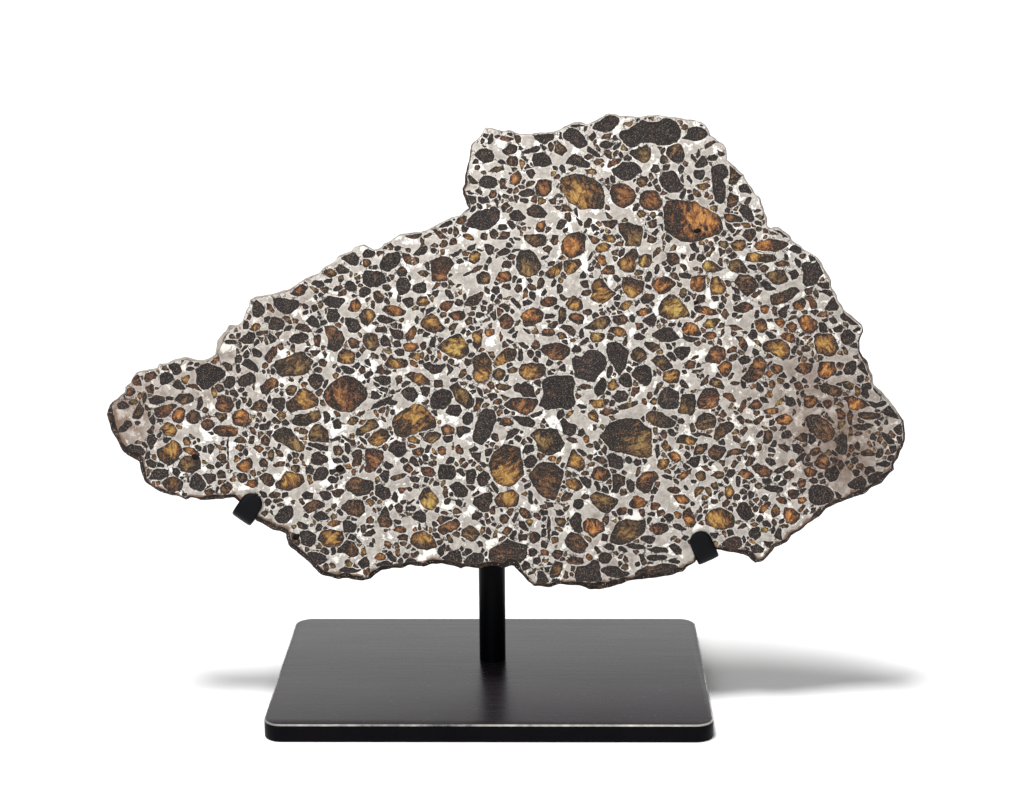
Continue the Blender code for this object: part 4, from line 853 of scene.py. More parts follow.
def slice_point(across, up, out=0.0):
    """A point given in mm across, up and out of the show face, in metres in the frame."""
    return FACE_START + (ACROSS * across + UP * up + OUT * out) * MM


def link_object(name, mesh, materials):
    for material in materials:
        mesh.materials.append(material)
    obj = bpy.data.objects.new(name, mesh)
    bpy.context.scene.collection.objects.link(obj)
    return obj


# Outlines in the plane of the slice

def resample(points, step):
    """Even steps round a closed line, straight from point to point, with all its values."""
    points = np.asarray(points, float)
    ahead = np.roll(points, -1, axis=0)
    spans = np.linalg.norm((ahead - points)[:, :2], axis=1)
    along = np.concatenate([[0], np.cumsum(spans)])
    count = max(3, round(along[-1] / step))
    places = np.arange(count) * along[-1] / count
    closed = np.vstack([points, points[:1]])
    return np.stack([np.interp(places, along, closed[:, k]) for k in range(points.shape[1])], 1)


def inward_ways(loop):
    """Unit directions into a clockwise loop at each of its points."""
    along = np.roll(loop, -1, axis=0)[:, :2] - np.roll(loop, 1, axis=0)[:, :2]
    along /= np.maximum(np.linalg.norm(along, axis=1), 1e-9)[:, None]
    return np.stack([along[:, 1], -along[:, 0]], 1)


def area(loop):
    x, y = loop[:, 0], loop[:, 1]
    return 0.5 * (np.dot(x, np.roll(y, -1)) - np.dot(y, np.roll(x, -1)))


def is_inside(spots, loop):
    """Which of the spots are in a closed loop."""
    found = np.zeros(len(spots), bool)
    for (ax, ay), (bx, by) in zip(loop[:, :2], np.roll(loop, -1, axis=0)[:, :2]):
        if ay == by:
            continue
        spans = (ay > spots[:, 1]) != (by > spots[:, 1])
        found ^= spans & (spots[:, 0] < ax + (bx - ax) * (spots[:, 1] - ay) / (by - ay))
    return found


def point_tree(spots):
    tree = kdtree.KDTree(len(spots))
    for i, (x, y) in enumerate(spots):
        tree.insert((x, y, 0), i)
    tree.balance()
    return tree


def roughen(loop, size, depth, salt=0.0):
    """Moves each point of a loop by smooth noise of the given size."""
    # the plain noise is the same in every run; Blender seeds its vector noise from the clock
    apart = Vector((31.4, 17.2, 5.9))
    moved = loop.copy()
    for i, (x, y) in enumerate(loop[:, :2]):
        place = Vector((x, y, salt)) / size
        moved[i, 0] += noise.noise(place) * depth
        moved[i, 1] += noise.noise(place + apart) * depth
    return moved


class Crystal:
    """One olivine crystal: its look, its outline, and where light comes out of its depth."""

    def __init__(self, look, outline, glow=None):
        self.look = look
        outline = np.asarray(outline, float)
        self.outline = outline if area(outline) < 0 else outline[::-1]
        self.size = math.sqrt(abs(area(self.outline)))
        self.centre = self.outline.mean(axis=0)
        self.glow = np.asarray(glow or self.centre, float)

    def shaped(self, step, salt):
        """The outline with even steps, its corners a little worn and its sides uneven."""
        step = min(step, max(0.4, self.size / 4))
        loop = resample(self.outline, step)
        worn = 0.8 * loop + 0.1 * (np.roll(loop, 1, axis=0) + np.roll(loop, -1, axis=0))
        return roughen(worn - STONE_WIDER * inward_ways(worn), 1.2, 0.42, salt)


def in_mm(word):
    return tuple(float(number) / 10 for number in word.split(","))


def read_crystals(text):
    """Crystals from words: a look, or look@across,up of its glow, then its corners."""
    rows = []
    for word in text.split():
        if word[0].isalpha():
            rows.append([word])
        else:
            rows[-1].append(in_mm(word))
    found = []
    for first, *corners in rows:
        look, _, glow = first.partition("@")
        found.append(Crystal(look, corners, in_mm(glow) if glow else None))
    return found


def clipped(cell, spot, way, reach):
    """The part of a convex cell that lies less than reach from spot along way."""
    kept = []
    beyond = [(corner[0] - spot[0]) * way[0] + (corner[1] - spot[1]) * way[1] - reach for corner in cell]
    for i, corner in enumerate(cell):
        j = (i + 1) % len(cell)
        if beyond[i] <= 0:
            kept.append(corner)
        if (beyond[i] < 0) != (beyond[j] < 0):
            part = beyond[i] / (beyond[i] - beyond[j])
            kept.append(tuple(a + (b - a) * part for a, b in zip(corner, cell[j])))
    return kept


def angular_blank(x, y, size, rng):
    """Corners of an uneven many-sided blank, anticlockwise about a spot."""
    count = rng.choice((5, 6, 6, 7, 8))
    turn, way = rng.uniform(0, math.tau), rng.uniform(0, math.pi)
    stretch = rng.uniform(1.0, 1.9)
    corners = []
    for i in range(count):
        angle = turn + (i + rng.uniform(-0.28, 0.28)) * math.tau / count
        reach = size * rng.uniform(0.66, 1.1)
        a, b = reach * math.cos(angle) * stretch, reach * math.sin(angle) / stretch
        corners.append((x + a * math.cos(way) - b * math.sin(way), y + a * math.sin(way) + b * math.cos(way)))
    return corners


def throw_seeds(crystals, rim, obstacles, rng):
    """Spots with a radius each for the fragments, the largest thrown first."""
    low, high = rim[:, :2].min(axis=0), rim[:, :2].max(axis=0)
    seeds = np.empty((0, 3))
    for radius, tries in FRAGMENT_SIZES:
        throws = np.array([(rng.uniform(low[0], high[0]), rng.uniform(low[1], high[1])) for _ in range(tries)])
        free = is_inside(throws, rim)
        for crystal in crystals:
            free &= ~is_inside(throws, crystal.outline)
        for a, b, c, d in READ_IN_FULL:
            read = (throws[:, 0] > a) & (throws[:, 0] < c) & (throws[:, 1] > b) & (throws[:, 1] < d)
            free &= ~read if radius > LARGEST_MISSED else True
        for x, y in throws[free]:
            reach = radius * rng.uniform(0.8, 1.25)
            if obstacles.find((x, y, 0))[2] < reach * 0.55:
                continue
            if any(math.hypot(x - a, y - b) < r for a, b, r in METAL_FIELDS):
                continue
            far = np.hypot(seeds[:, 0] - x, seeds[:, 1] - y)
            if (far < 0.68 * (seeds[:, 2] + reach)).any():
                continue
            seeds = np.vstack([seeds, (x, y, reach)])
    return seeds


def fill_between(crystals, rim, rng):
    """Angular fragments for the places that the table leaves out, as cells drawn in from each other."""
    looks = list(OLIVINE_LOOKS)
    shares = [OLIVINE_LOOKS[look][3] for look in looks]
    spots = np.vstack([resample(crystal.outline, 0.5) for crystal in crystals] + [rim[:, :2]])
    obstacles = point_tree(spots)
    seeds = throw_seeds(crystals, rim, obstacles, rng)
    added = []
    for number, (x, y, reach) in enumerate(seeds):
        size = 1.55 * reach
        cell = angular_blank(x, y, size, rng)
        vein = rng.uniform(0.08, 0.36)
        far = np.hypot(seeds[:, 0] - x, seeds[:, 1] - y)
        for other in np.flatnonzero((far < 1.7 * (reach + seeds[:, 2])) & (far > 0)):
            apart = far[other]
            way = ((seeds[other, 0] - x) / apart, (seeds[other, 1] - y) / apart)
            cell = clipped(cell, (x, y), way, (apart ** 2 + reach ** 2 - seeds[other, 2] ** 2) / (2 * apart) - vein)
        for place, _, apart in obstacles.find_range((x, y, 0), size + vein):
            apart = max(apart, 0.05)
            cell = clipped(cell, (x, y), ((place.x - x) / apart, (place.y - y) / apart), apart - vein)
        bare = rng.random() < BARE_SHARE
        if len(cell) > 2 and abs(area(np.array(cell))) > 0.5 and not bare:
            added.append(Crystal(rng.choices(looks, shares)[0], cell))
    return added


def part_crystals(loops, rim):
    """Draws the loops in where they meet each other or the rim, so that a vein of metal stays."""
    owners = np.concatenate([np.full(len(loop), i) for i, loop in enumerate(loops)])
    breaks = np.cumsum([len(loop) for loop in loops])[:-1]
    centres = np.array([loop.mean(axis=0) for loop in loops])[owners]
    rim_tree = point_tree(resample(rim[:, :2], 0.3))
    spots = np.vstack(loops)
    for _ in range(7):
        loops = np.split(spots, breaks)
        to_centre = centres - spots
        ways = to_centre / np.maximum(np.linalg.norm(to_centre, axis=1), 0.3)[:, None]
        ways = ways + np.vstack([inward_ways(loop) for loop in loops])
        ways /= np.maximum(np.linalg.norm(ways, axis=1), 0.3)[:, None]
        covered = np.zeros(len(spots), bool)
        for i, loop in enumerate(loops):
            low, high = loop.min(axis=0), loop.max(axis=0)
            near = np.flatnonzero(((spots > low) & (spots < high)).all(axis=1) & (owners != i))
            if len(near):
                covered[near] |= is_inside(spots[near], loop)
        outside = ~is_inside(spots, rim)
        tree = point_tree(spots)
        pull = np.where(covered, 0.3, 0.0)
        for k, (x, y) in enumerate(spots):
            others = [far for _, n, far in tree.find_n((x, y, 0), 6) if owners[n] != owners[k]]
            if others and others[0] < VEIN:
                pull[k] = max(pull[k], (VEIN - others[0]) / 2 + 0.02)
            gap = rim_tree.find((x, y, 0))[2]
            if outside[k]:
                pull[k] = gap + RIM_VEIN
            elif gap < RIM_VEIN:
                pull[k] = max(pull[k], RIM_VEIN - gap + 0.02)
        spots = spots + ways * pull[:, None]
    return np.split(spots, breaks)


# The slice's mesh

def rim_profile(loop, rough):
    """The rim's rings from the show face to the back: mm across, up and out, and crust share."""
    ways = inward_ways(loop)
    profile = ((1.0, 0.0, 0.0), (0.62, 0.05, 0.4), (0.3, 0.16, 0.8), (0.06, 0.34, 1.0), (0.0, 0.55, 1.0),
               (0.1, 0.74, 1.0), (0.38, 0.9, 0.9), (0.66, 0.97, 0.5), (0.95, 1.0, 0.0))
    thick = SLICE_THICK / MM
    rings = []
    for number, (share, depth, chips) in enumerate(profile):
        swell = 0.25 * math.sin(math.pi * depth)
        ring = []
        for (x, y, crust), way in zip(loop, ways):
            coarse = noise.noise(Vector((x, y, number * 1.1)) / 3.2)
            fine = noise.noise(Vector((x, y, number * 0.9 + 7)) / 0.9)
            chip = 0.35 * (0.5 + coarse) * (0.4 + math.sin(math.pi * depth)) + rough * chips * fine
            wider = CRUST_BELOW * max(0.0, way[1]) * (0.75 + 0.9 * coarse)
            take = (crust + wider) * share - swell + chip
            out = -depth * thick + (0.18 * chips * fine if 0 < depth < 1 else 0)
            ring.append((x + way[0] * take, y + way[1] * take, out))
        rings.append(np.array(ring))
    return rings


def pit_loop(pit, share, out):
    x, y, half_length, half_breadth, turn, _ = pit
    turned = Matrix.Rotation(math.radians(turn), 2)
    loop = []
    for i in range(18):
        angle = math.tau * i / 18
        uneven = share * (1 + 0.3 * noise.noise(Vector((x + math.cos(angle), y + math.sin(angle), 0))))
        spot = turned @ Vector((half_length * math.cos(angle), half_breadth * math.sin(angle))) * uneven
        loop.append((x + spot.x, y + spot.y, out))
    return np.array(loop)[::-1]


def metal_spots(rim, step, rng):
    """Spots on an uneven triangular grid inside the rim."""
    low, high = rim[:, :2].min(axis=0), rim[:, :2].max(axis=0)
    rows = np.arange(low[1], high[1], step * 0.87)
    spots = []
    for number, y in enumerate(rows):
        for x in np.arange(low[0] + step * 0.5 * (number % 2), high[0], step):
            spots.append((x + rng.uniform(-0.2, 0.2) * step, y + rng.uniform(-0.2, 0.2) * step))
    return np.array(spots)


def cut_face(crystals, rim, pits, coarser, rng):
    """One cut face as triangles: spots, triangles, and the crystal of each (-1 for metal)."""
    step = CRYSTAL_STEP * coarser
    loops = [crystal.shaped(step, i * 3.7) for i, crystal in enumerate(crystals)]
    loops = part_crystals(loops, rim)
    kept = [(crystal, loop) for crystal, loop in zip(crystals, loops) if area(loop) < -0.35]
    crystals = [crystal for crystal, _ in kept]
    loops = [loop for _, loop in kept]
    edge_tree = point_tree(np.vstack([resample(loop, 0.4) for loop in loops + [rim[:, :2]]]))
    grid = metal_spots(rim, METAL_STEP * coarser, rng)
    free = is_inside(grid, rim)
    for pit in pits:
        free &= ~is_inside(grid, pit)
    grid = grid[free]
    gaps = np.array([edge_tree.find((x, y, 0))[2] for x, y in grid])
    grid = grid[gaps > 0.35 * METAL_STEP * coarser]
    insets = []
    for loop in loops:
        inset = loop + inward_ways(loop) * 0.45
        far = np.array([edge_tree.find((x, y, 0))[2] for x, y in inset]) > 0.38
        insets.append(inset[far & is_inside(inset, loop)])
    edges = []
    start = 0
    for loop in [rim] + pits + loops:
        edges += [(start + i, start + (i + 1) % len(loop)) for i in range(len(loop))]
        start += len(loop)
    flat = np.vstack([rim[:, :2]] + [pit[:, :2] for pit in pits] + loops + [grid] + insets)
    found = geometry.delaunay_2d_cdt([Vector(spot) for spot in flat], edges, [], 1, 1e-6)
    spots = np.array([(spot.x, spot.y) for spot in found[0]])
    triangles = np.array([triangle for triangle in found[2] if len(triangle) == 3])
    middles = spots[triangles].mean(axis=1)
    stones = np.full(len(triangles), -1)
    for number, loop in enumerate(loops):
        near = np.flatnonzero(((middles > loop.min(axis=0)) & (middles < loop.max(axis=0))).all(axis=1))
        stones[near[is_inside(middles[near], loop)]] = number
    kept = is_inside(middles, rim)
    for pit in pits:
        kept &= ~is_inside(middles, pit)
    gaps = np.array([edge_tree.find((x, y, 0))[2] for x, y in spots])
    rim_tree = point_tree(resample(rim[:, :2], 0.3))
    # metal faces next to the lower edge take the crust's finish, so the rim is darker towards the bottom
    at_rim = np.array([rim_tree.find((x, y, 0))[2] < 1.6 * RIM_VEIN for x, y in spots])
    lower = inward_ways(rim)[:, 1]
    ring_tree = point_tree(rim[:, :2])
    at_rim &= np.array([lower[ring_tree.find((x, y, 0))[1]] > 0.2 for x, y in spots])
    return crystals, spots, triangles[kept].tolist(), stones[kept].tolist(), found[3], gaps, at_rim


# What the materials read at each point: name, attribute type, numbers each
POINT_VALUES = (("gap", "FLOAT", 1), ("glow", "FLOAT", 1), ("stain", "FLOAT", 1), ("grain", "FLOAT_VECTOR", 3),
                ("stone_body", "FLOAT_COLOR", 4), ("stone_light", "FLOAT_COLOR", 4))
METAL, STONE, CRUST = range(3)


class SliceMesh:
    """Collects the slice's points (mm across, up and out), its faces and the values at its points."""

    def __init__(self):
        self.points = []
        self.faces = []
        self.finishes = []
        self.values = {name: {} for name, _, _ in POINT_VALUES}

    def add_points(self, points):
        start = len(self.points)
        self.points += [tuple(point) for point in points]
        return list(range(start, len(self.points)))

    def add_face(self, corners, finish):
        self.faces.append(tuple(corners))
        self.finishes.append(finish)

    def add_band(self, lower, upper, finish):
        """Faces between two rings of the same number of points."""
        for i, corner in enumerate(lower):
            j = (i + 1) % len(lower)
            self.add_face((corner, upper[i], upper[j], lower[j]), finish)

    def close_seams(self):
        """Gives faces of the rim and pits the points at which a cut face has split their edges."""
        holders = {}
        for number, face in enumerate(self.faces):
            for edge in zip(face, face[1:] + face[:1]):
                holders.setdefault(frozenset(edge), []).append(number)
        beside = {}
        for edge in (edge for edge, faces in holders.items() if len(faces) == 1):
            for corner in edge:
                beside.setdefault(corner, set()).update(edge - {corner})
        loose = [edge for edge, faces in holders.items() if len(faces) == 1]
        loose.sort(key=lambda edge: (-math.dist(*(self.points[corner] for corner in edge)), min(edge)))
        for edge in loose:
            number = holders[edge][0]
            face = self.faces[number]
            start, end = next(pair for pair in zip(face, face[1:] + face[:1]) if frozenset(pair) == edge)
            if end not in beside.get(start, ()):
                continue
            chain = self.chain_between(start, end, beside)
            if chain:
                place = face.index(start) + 1
                self.faces[number] = face[:place] + tuple(chain) + face[place:]
                for a, b in zip([start] + chain, chain + [end]):
                    beside[a].discard(b)
                    beside[b].discard(a)
                beside[start].discard(end)
                beside[end].discard(start)

    def chain_between(self, start, end, beside):
        """Points that lead from start to end along loose edges, all of them on the straight line."""
        chain = []
        here, before = start, end
        whole = math.dist(self.points[start], self.points[end])
        while here != end:
            ahead = [corner for corner in beside[here] if corner != before and (here != start or corner != end)]
            ahead = [corner for corner in ahead
                     if math.dist(self.points[start], self.points[corner])
                     + math.dist(self.points[corner], self.points[end]) < whole + SEAM_SLACK]
            ahead = [corner for corner in ahead if corner not in chain]
            if not ahead or len(chain) > 8:
                return []
            before, here = here, min(ahead)
            chain.append(here)
        return chain[:-1]

    def made(self, name, materials):
        mesh = bpy.data.meshes.new(name)
        mesh.from_pydata([slice_point(*point) for point in self.points], [], self.faces)
        mesh.polygons.foreach_set("material_index", self.finishes)
        for attribute, kind, width in POINT_VALUES:
            table = np.zeros((len(self.points), width), np.float32)
            for index, value in self.values[attribute].items():
                table[index] = value
            field = {"FLOAT": "value", "FLOAT_VECTOR": "vector", "FLOAT_COLOR": "color"}[kind]
            mesh.attributes.new(attribute, kind, "POINT").data.foreach_set(field, table.ravel())
        mesh.shade_smooth()
        mesh.set_sharp_from_angle(angle=math.radians(32))
        return link_object(name, mesh, materials)


def stain_at(x, y):
    """How far rust has crept over the metal at a spot, 0 to 1."""
    return min(1.0, sum(strength * math.exp(-((x - a) ** 2 + (y - b) ** 2) / reach ** 2)
                        for a, b, reach, strength in STAINS))


def add_cut_face(body, crystals, ring, ring_numbers, pits, coarser, is_back, rng):
    """Adds one cut face inside a ring of the rim, and gives the numbers of its pits' mouths."""
    crystals, spots, triangles, stones, origins, gaps, at_rim = cut_face(crystals, ring, pits, coarser, rng)
    out = ring[0][2]
    ring_stains = [body.values["stain"][number] for number in ring_numbers]
    owner = {}
    for triangle, stone in zip(triangles, stones):
        for corner in triangle:
            owner[corner] = max(stone, owner.get(corner, -1))
    numbers = {}
    mouths = {}
    for index, stone in owner.items():
        x, y = spots[index]
        inputs = [origin for origin in origins[index] if origin < len(ring)]
        if inputs:
            numbers[index] = ring_numbers[inputs[0]]
        else:
            sunk = STONE_SUNK * min(1.0, gaps[index] / 0.5) if stone >= 0 else 0.0
            numbers[index] = body.add_points([(x, y, out + (sunk if is_back else -sunk))])[0]
            mouths.update((origin - len(ring), numbers[index]) for origin in origins[index])
        body.values["gap"][numbers[index]] = gaps[index]
        body.values["stain"][numbers[index]] = max(stain_at(x, y), ring_stains[inputs[0]] if inputs else 0.0)
    members = {}
    for index, stone in owner.items():
        if stone >= 0:
            members.setdefault(stone, []).append(index)
    for stone, indexes in sorted(members.items()):
        crystal = crystals[stone]
        stone_body, stone_light, strength, _ = OLIVINE_LOOKS[crystal.look]
        shade = rng.uniform(0.75, 1.3)
        turned = Matrix.Rotation(rng.uniform(0, math.pi), 2)
        for index in indexes:
            number = numbers[index]
            grain = turned @ Vector(spots[index] - crystal.centre)
            far = math.dist(spots[index], crystal.glow) / (0.45 * crystal.size + 0.4)
            body.values["grain"][number] = (grain.x, grain.y, stone * 7.3)
            body.values["glow"][number] = strength * math.exp(-far ** 2)
            body.values["stone_body"][number] = np.array(linear(stone_body)) * (shade, shade, shade, 1)
            body.values["stone_light"][number] = linear(stone_light)
    for triangle, stone in zip(triangles, stones):
        corners = [numbers[index] for index in triangle]
        crusted = stone < 0 and all(at_rim[index] for index in triangle)
        finish = STONE if stone >= 0 else CRUST if crusted else METAL
        body.add_face(corners[::-1] if is_back else corners, finish)
    return mouths


def build_slice(crystals, materials):
    """The slice as one closed mesh: show face, rough rim, back face and pits."""
    rng = random.Random(SEED)
    body = SliceMesh()
    rings = rim_profile(resample(OUTLINE, RIM_STEP), 0.16)
    numbers = [body.add_points(ring) for ring in rings]
    # the rim is darker towards the bottom: crust colour along the lower edge, pale metal colour along the upper edge
    for ring, ring_numbers in zip(rings, numbers):
        broad = sum(np.roll(inward_ways(ring), turn, axis=0) for turn in range(-9, 10)) / 19
        for number, way in zip(ring_numbers, broad):
            body.values["stain"][number] = min(1.0, max(0.0, 0.55 + 1.1 * way[1]))
    for front, behind in zip(numbers, numbers[1:]):
        body.add_band(front, behind, CRUST)
    pits = [pit_loop(pit, 1.0, 0.0) for pit in PITS]
    mouths = add_cut_face(body, crystals, rings[0], numbers[0], pits, 1.0, False, rng)
    large = [crystal for crystal in crystals if crystal.size > BACK_SMALLEST]
    add_cut_face(body, large, rings[-1], numbers[-1], [], BACK_COARSER, True, rng)
    start = 0
    for pit, loop in zip(PITS, pits):
        upper = [mouths[start + i] for i in range(len(loop))]
        start += len(loop)
        for share, deep in ((0.9, 0.5), (0.72, 0.85), (0.4, 1.0)):
            floor = [(x, y, out + 0.12 * noise.noise(Vector((x, y, out)) / 0.5))
                     for x, y, out in pit_loop(pit, share, -pit[-1] * deep)]
            lower = body.add_points(floor)
            body.values["stain"].update((number, 1.0) for number in lower)
            body.add_band(upper, lower, CRUST)
            upper = lower
        body.add_face(upper, CRUST)
    body.close_seams()
    return body.made("pallasite_slice_cut", materials)


# Materials

def add_node(tree, kind, inputs=None, **settings):
    """Adds a node with its settings, and links or sets its inputs by name or number."""
    node = tree.nodes.new(kind)
    for name, value in settings.items():
        setattr(node, name, value)
    for key, value in (inputs or {}).items():
        if isinstance(value, bpy.types.NodeSocket):
            tree.links.new(value, node.inputs[key])
        else:
            node.inputs[key].default_value = value
    return node


def new_material(name):
    """An empty node material, its tree and its shader."""
    material = bpy.data.materials.new(name)
    material.use_nodes = True
    tree = material.node_tree
    return material, tree, tree.nodes["Principled BSDF"]


def weathered_kamacite():
    """Iron-nickel, sawn and hand-polished: light grey, paler patches, rust films, dark specks at stones."""
    material, tree, shader = new_material("polished_kamacite")
    place = add_node(tree, "ShaderNodeTexCoord").outputs["Object"]
    gap = add_node(tree, "ShaderNodeAttribute", attribute_name="gap").outputs["Fac"]
    stain = add_node(tree, "ShaderNodeAttribute", attribute_name="stain").outputs["Fac"]
    # pale swathing metal lies in patches 3 to 5 mm wide, and thinly along most stones
    broad = add_node(tree, "ShaderNodeTexNoise", {"Vector": place, "Scale": 230.0, "Detail": 3.0})
    fine = add_node(tree, "ShaderNodeTexNoise", {"Vector": place, "Scale": 900.0, "Detail": 5.0,
                                                 "Roughness": 0.65, "Distortion": 1.0})
    patch = add_node(tree, "ShaderNodeMath", {0: fine.outputs["Fac"], 1: 0.45, 2: broad.outputs["Fac"]},
                     operation="MULTIPLY_ADD")
    pale = add_node(tree, "ShaderNodeMapRange", {"Value": patch.outputs[0], "From Min": 0.79, "From Max": 0.83})
    near = add_node(tree, "ShaderNodeMapRange", {"Value": gap, "From Min": 0.1, "From Max": 0.5, "To Min": 0.35,
                                                 "To Max": 0.0})
    paler = add_node(tree, "ShaderNodeMath", {0: pale.outputs[0], 1: near.outputs[0]}, operation="MAXIMUM")
    clouds = add_node(tree, "ShaderNodeTexNoise", {"Vector": place, "Scale": 420.0, "Detail": 7.0,
                                                   "Roughness": 0.72})
    tone = add_node(tree, "ShaderNodeMapRange", {"Value": clouds.outputs["Fac"], "From Min": 0.36,
                                                 "From Max": 0.64})
    grey = add_node(tree, "ShaderNodeMix", {0: tone.outputs[0], 6: linear("#8f8881"), 7: linear("#b9b3ab")},
                    data_type="RGBA")
    metal = add_node(tree, "ShaderNodeMix", {0: paler.outputs[0], 6: grey.outputs[2], 7: linear("#e6e1da")},
                     data_type="RGBA")
    patches = add_node(tree, "ShaderNodeTexNoise", {"Vector": place, "Scale": 260.0, "Detail": 8.0,
                                                    "Roughness": 0.74})
    crept = add_node(tree, "ShaderNodeMath", {0: stain, 1: patches.outputs["Fac"]}, operation="ADD")
    rust = add_node(tree, "ShaderNodeMapRange", {"Value": crept.outputs[0], "From Min": 0.6, "From Max": 1.1,
                                                 "To Max": 0.9})
    rusted = add_node(tree, "ShaderNodeMix", {0: rust.outputs[0], 6: metal.outputs[2], 7: linear("#6b5140")},
                      data_type="RGBA")
    # broken olivine and sulphide specks make the stones' edges ragged
    teeth = add_node(tree, "ShaderNodeMath", {0: fine.outputs["Fac"], 1: -2.2, 2: gap}, operation="MULTIPLY_ADD")
    speck = add_node(tree, "ShaderNodeMapRange", {"Value": teeth.outputs[0], "From Min": -1.18, "From Max": -1.0,
                                                  "To Min": 0.9, "To Max": 0.0})
    colour = add_node(tree, "ShaderNodeMix", {0: speck.outputs[0], 6: rusted.outputs[2], 7: linear("#3a2f2a")},
                      data_type="RGBA")
    tree.links.new(colour.outputs[2], shader.inputs["Base Color"])
    # hand-polishing scratches, drawn about ten times as wide as real so that they show
    turned = add_node(tree, "ShaderNodeMapping", {"Vector": place, "Rotation": (0, 0.5, 0),
                                                  "Scale": (90, 90, 2600)})
    scratch = add_node(tree, "ShaderNodeTexNoise", {"Vector": turned.outputs[0], "Scale": 1.0, "Detail": 2.0})
    rough = add_node(tree, "ShaderNodeMapRange", {"Value": scratch.outputs["Fac"], "From Min": 0.3, "From Max": 0.7,
                                                  "To Min": 0.36, "To Max": 0.5})
    tree.links.new(rough.outputs[0], shader.inputs["Roughness"])
    bump = add_node(tree, "ShaderNodeBump", {"Height": scratch.outputs["Fac"], "Strength": 0.05,
                                             "Distance": 0.02 * MM})
    tree.links.new(bump.outputs[0], shader.inputs["Normal"])
    shader.inputs["Metallic"].default_value = 0.8
    return material


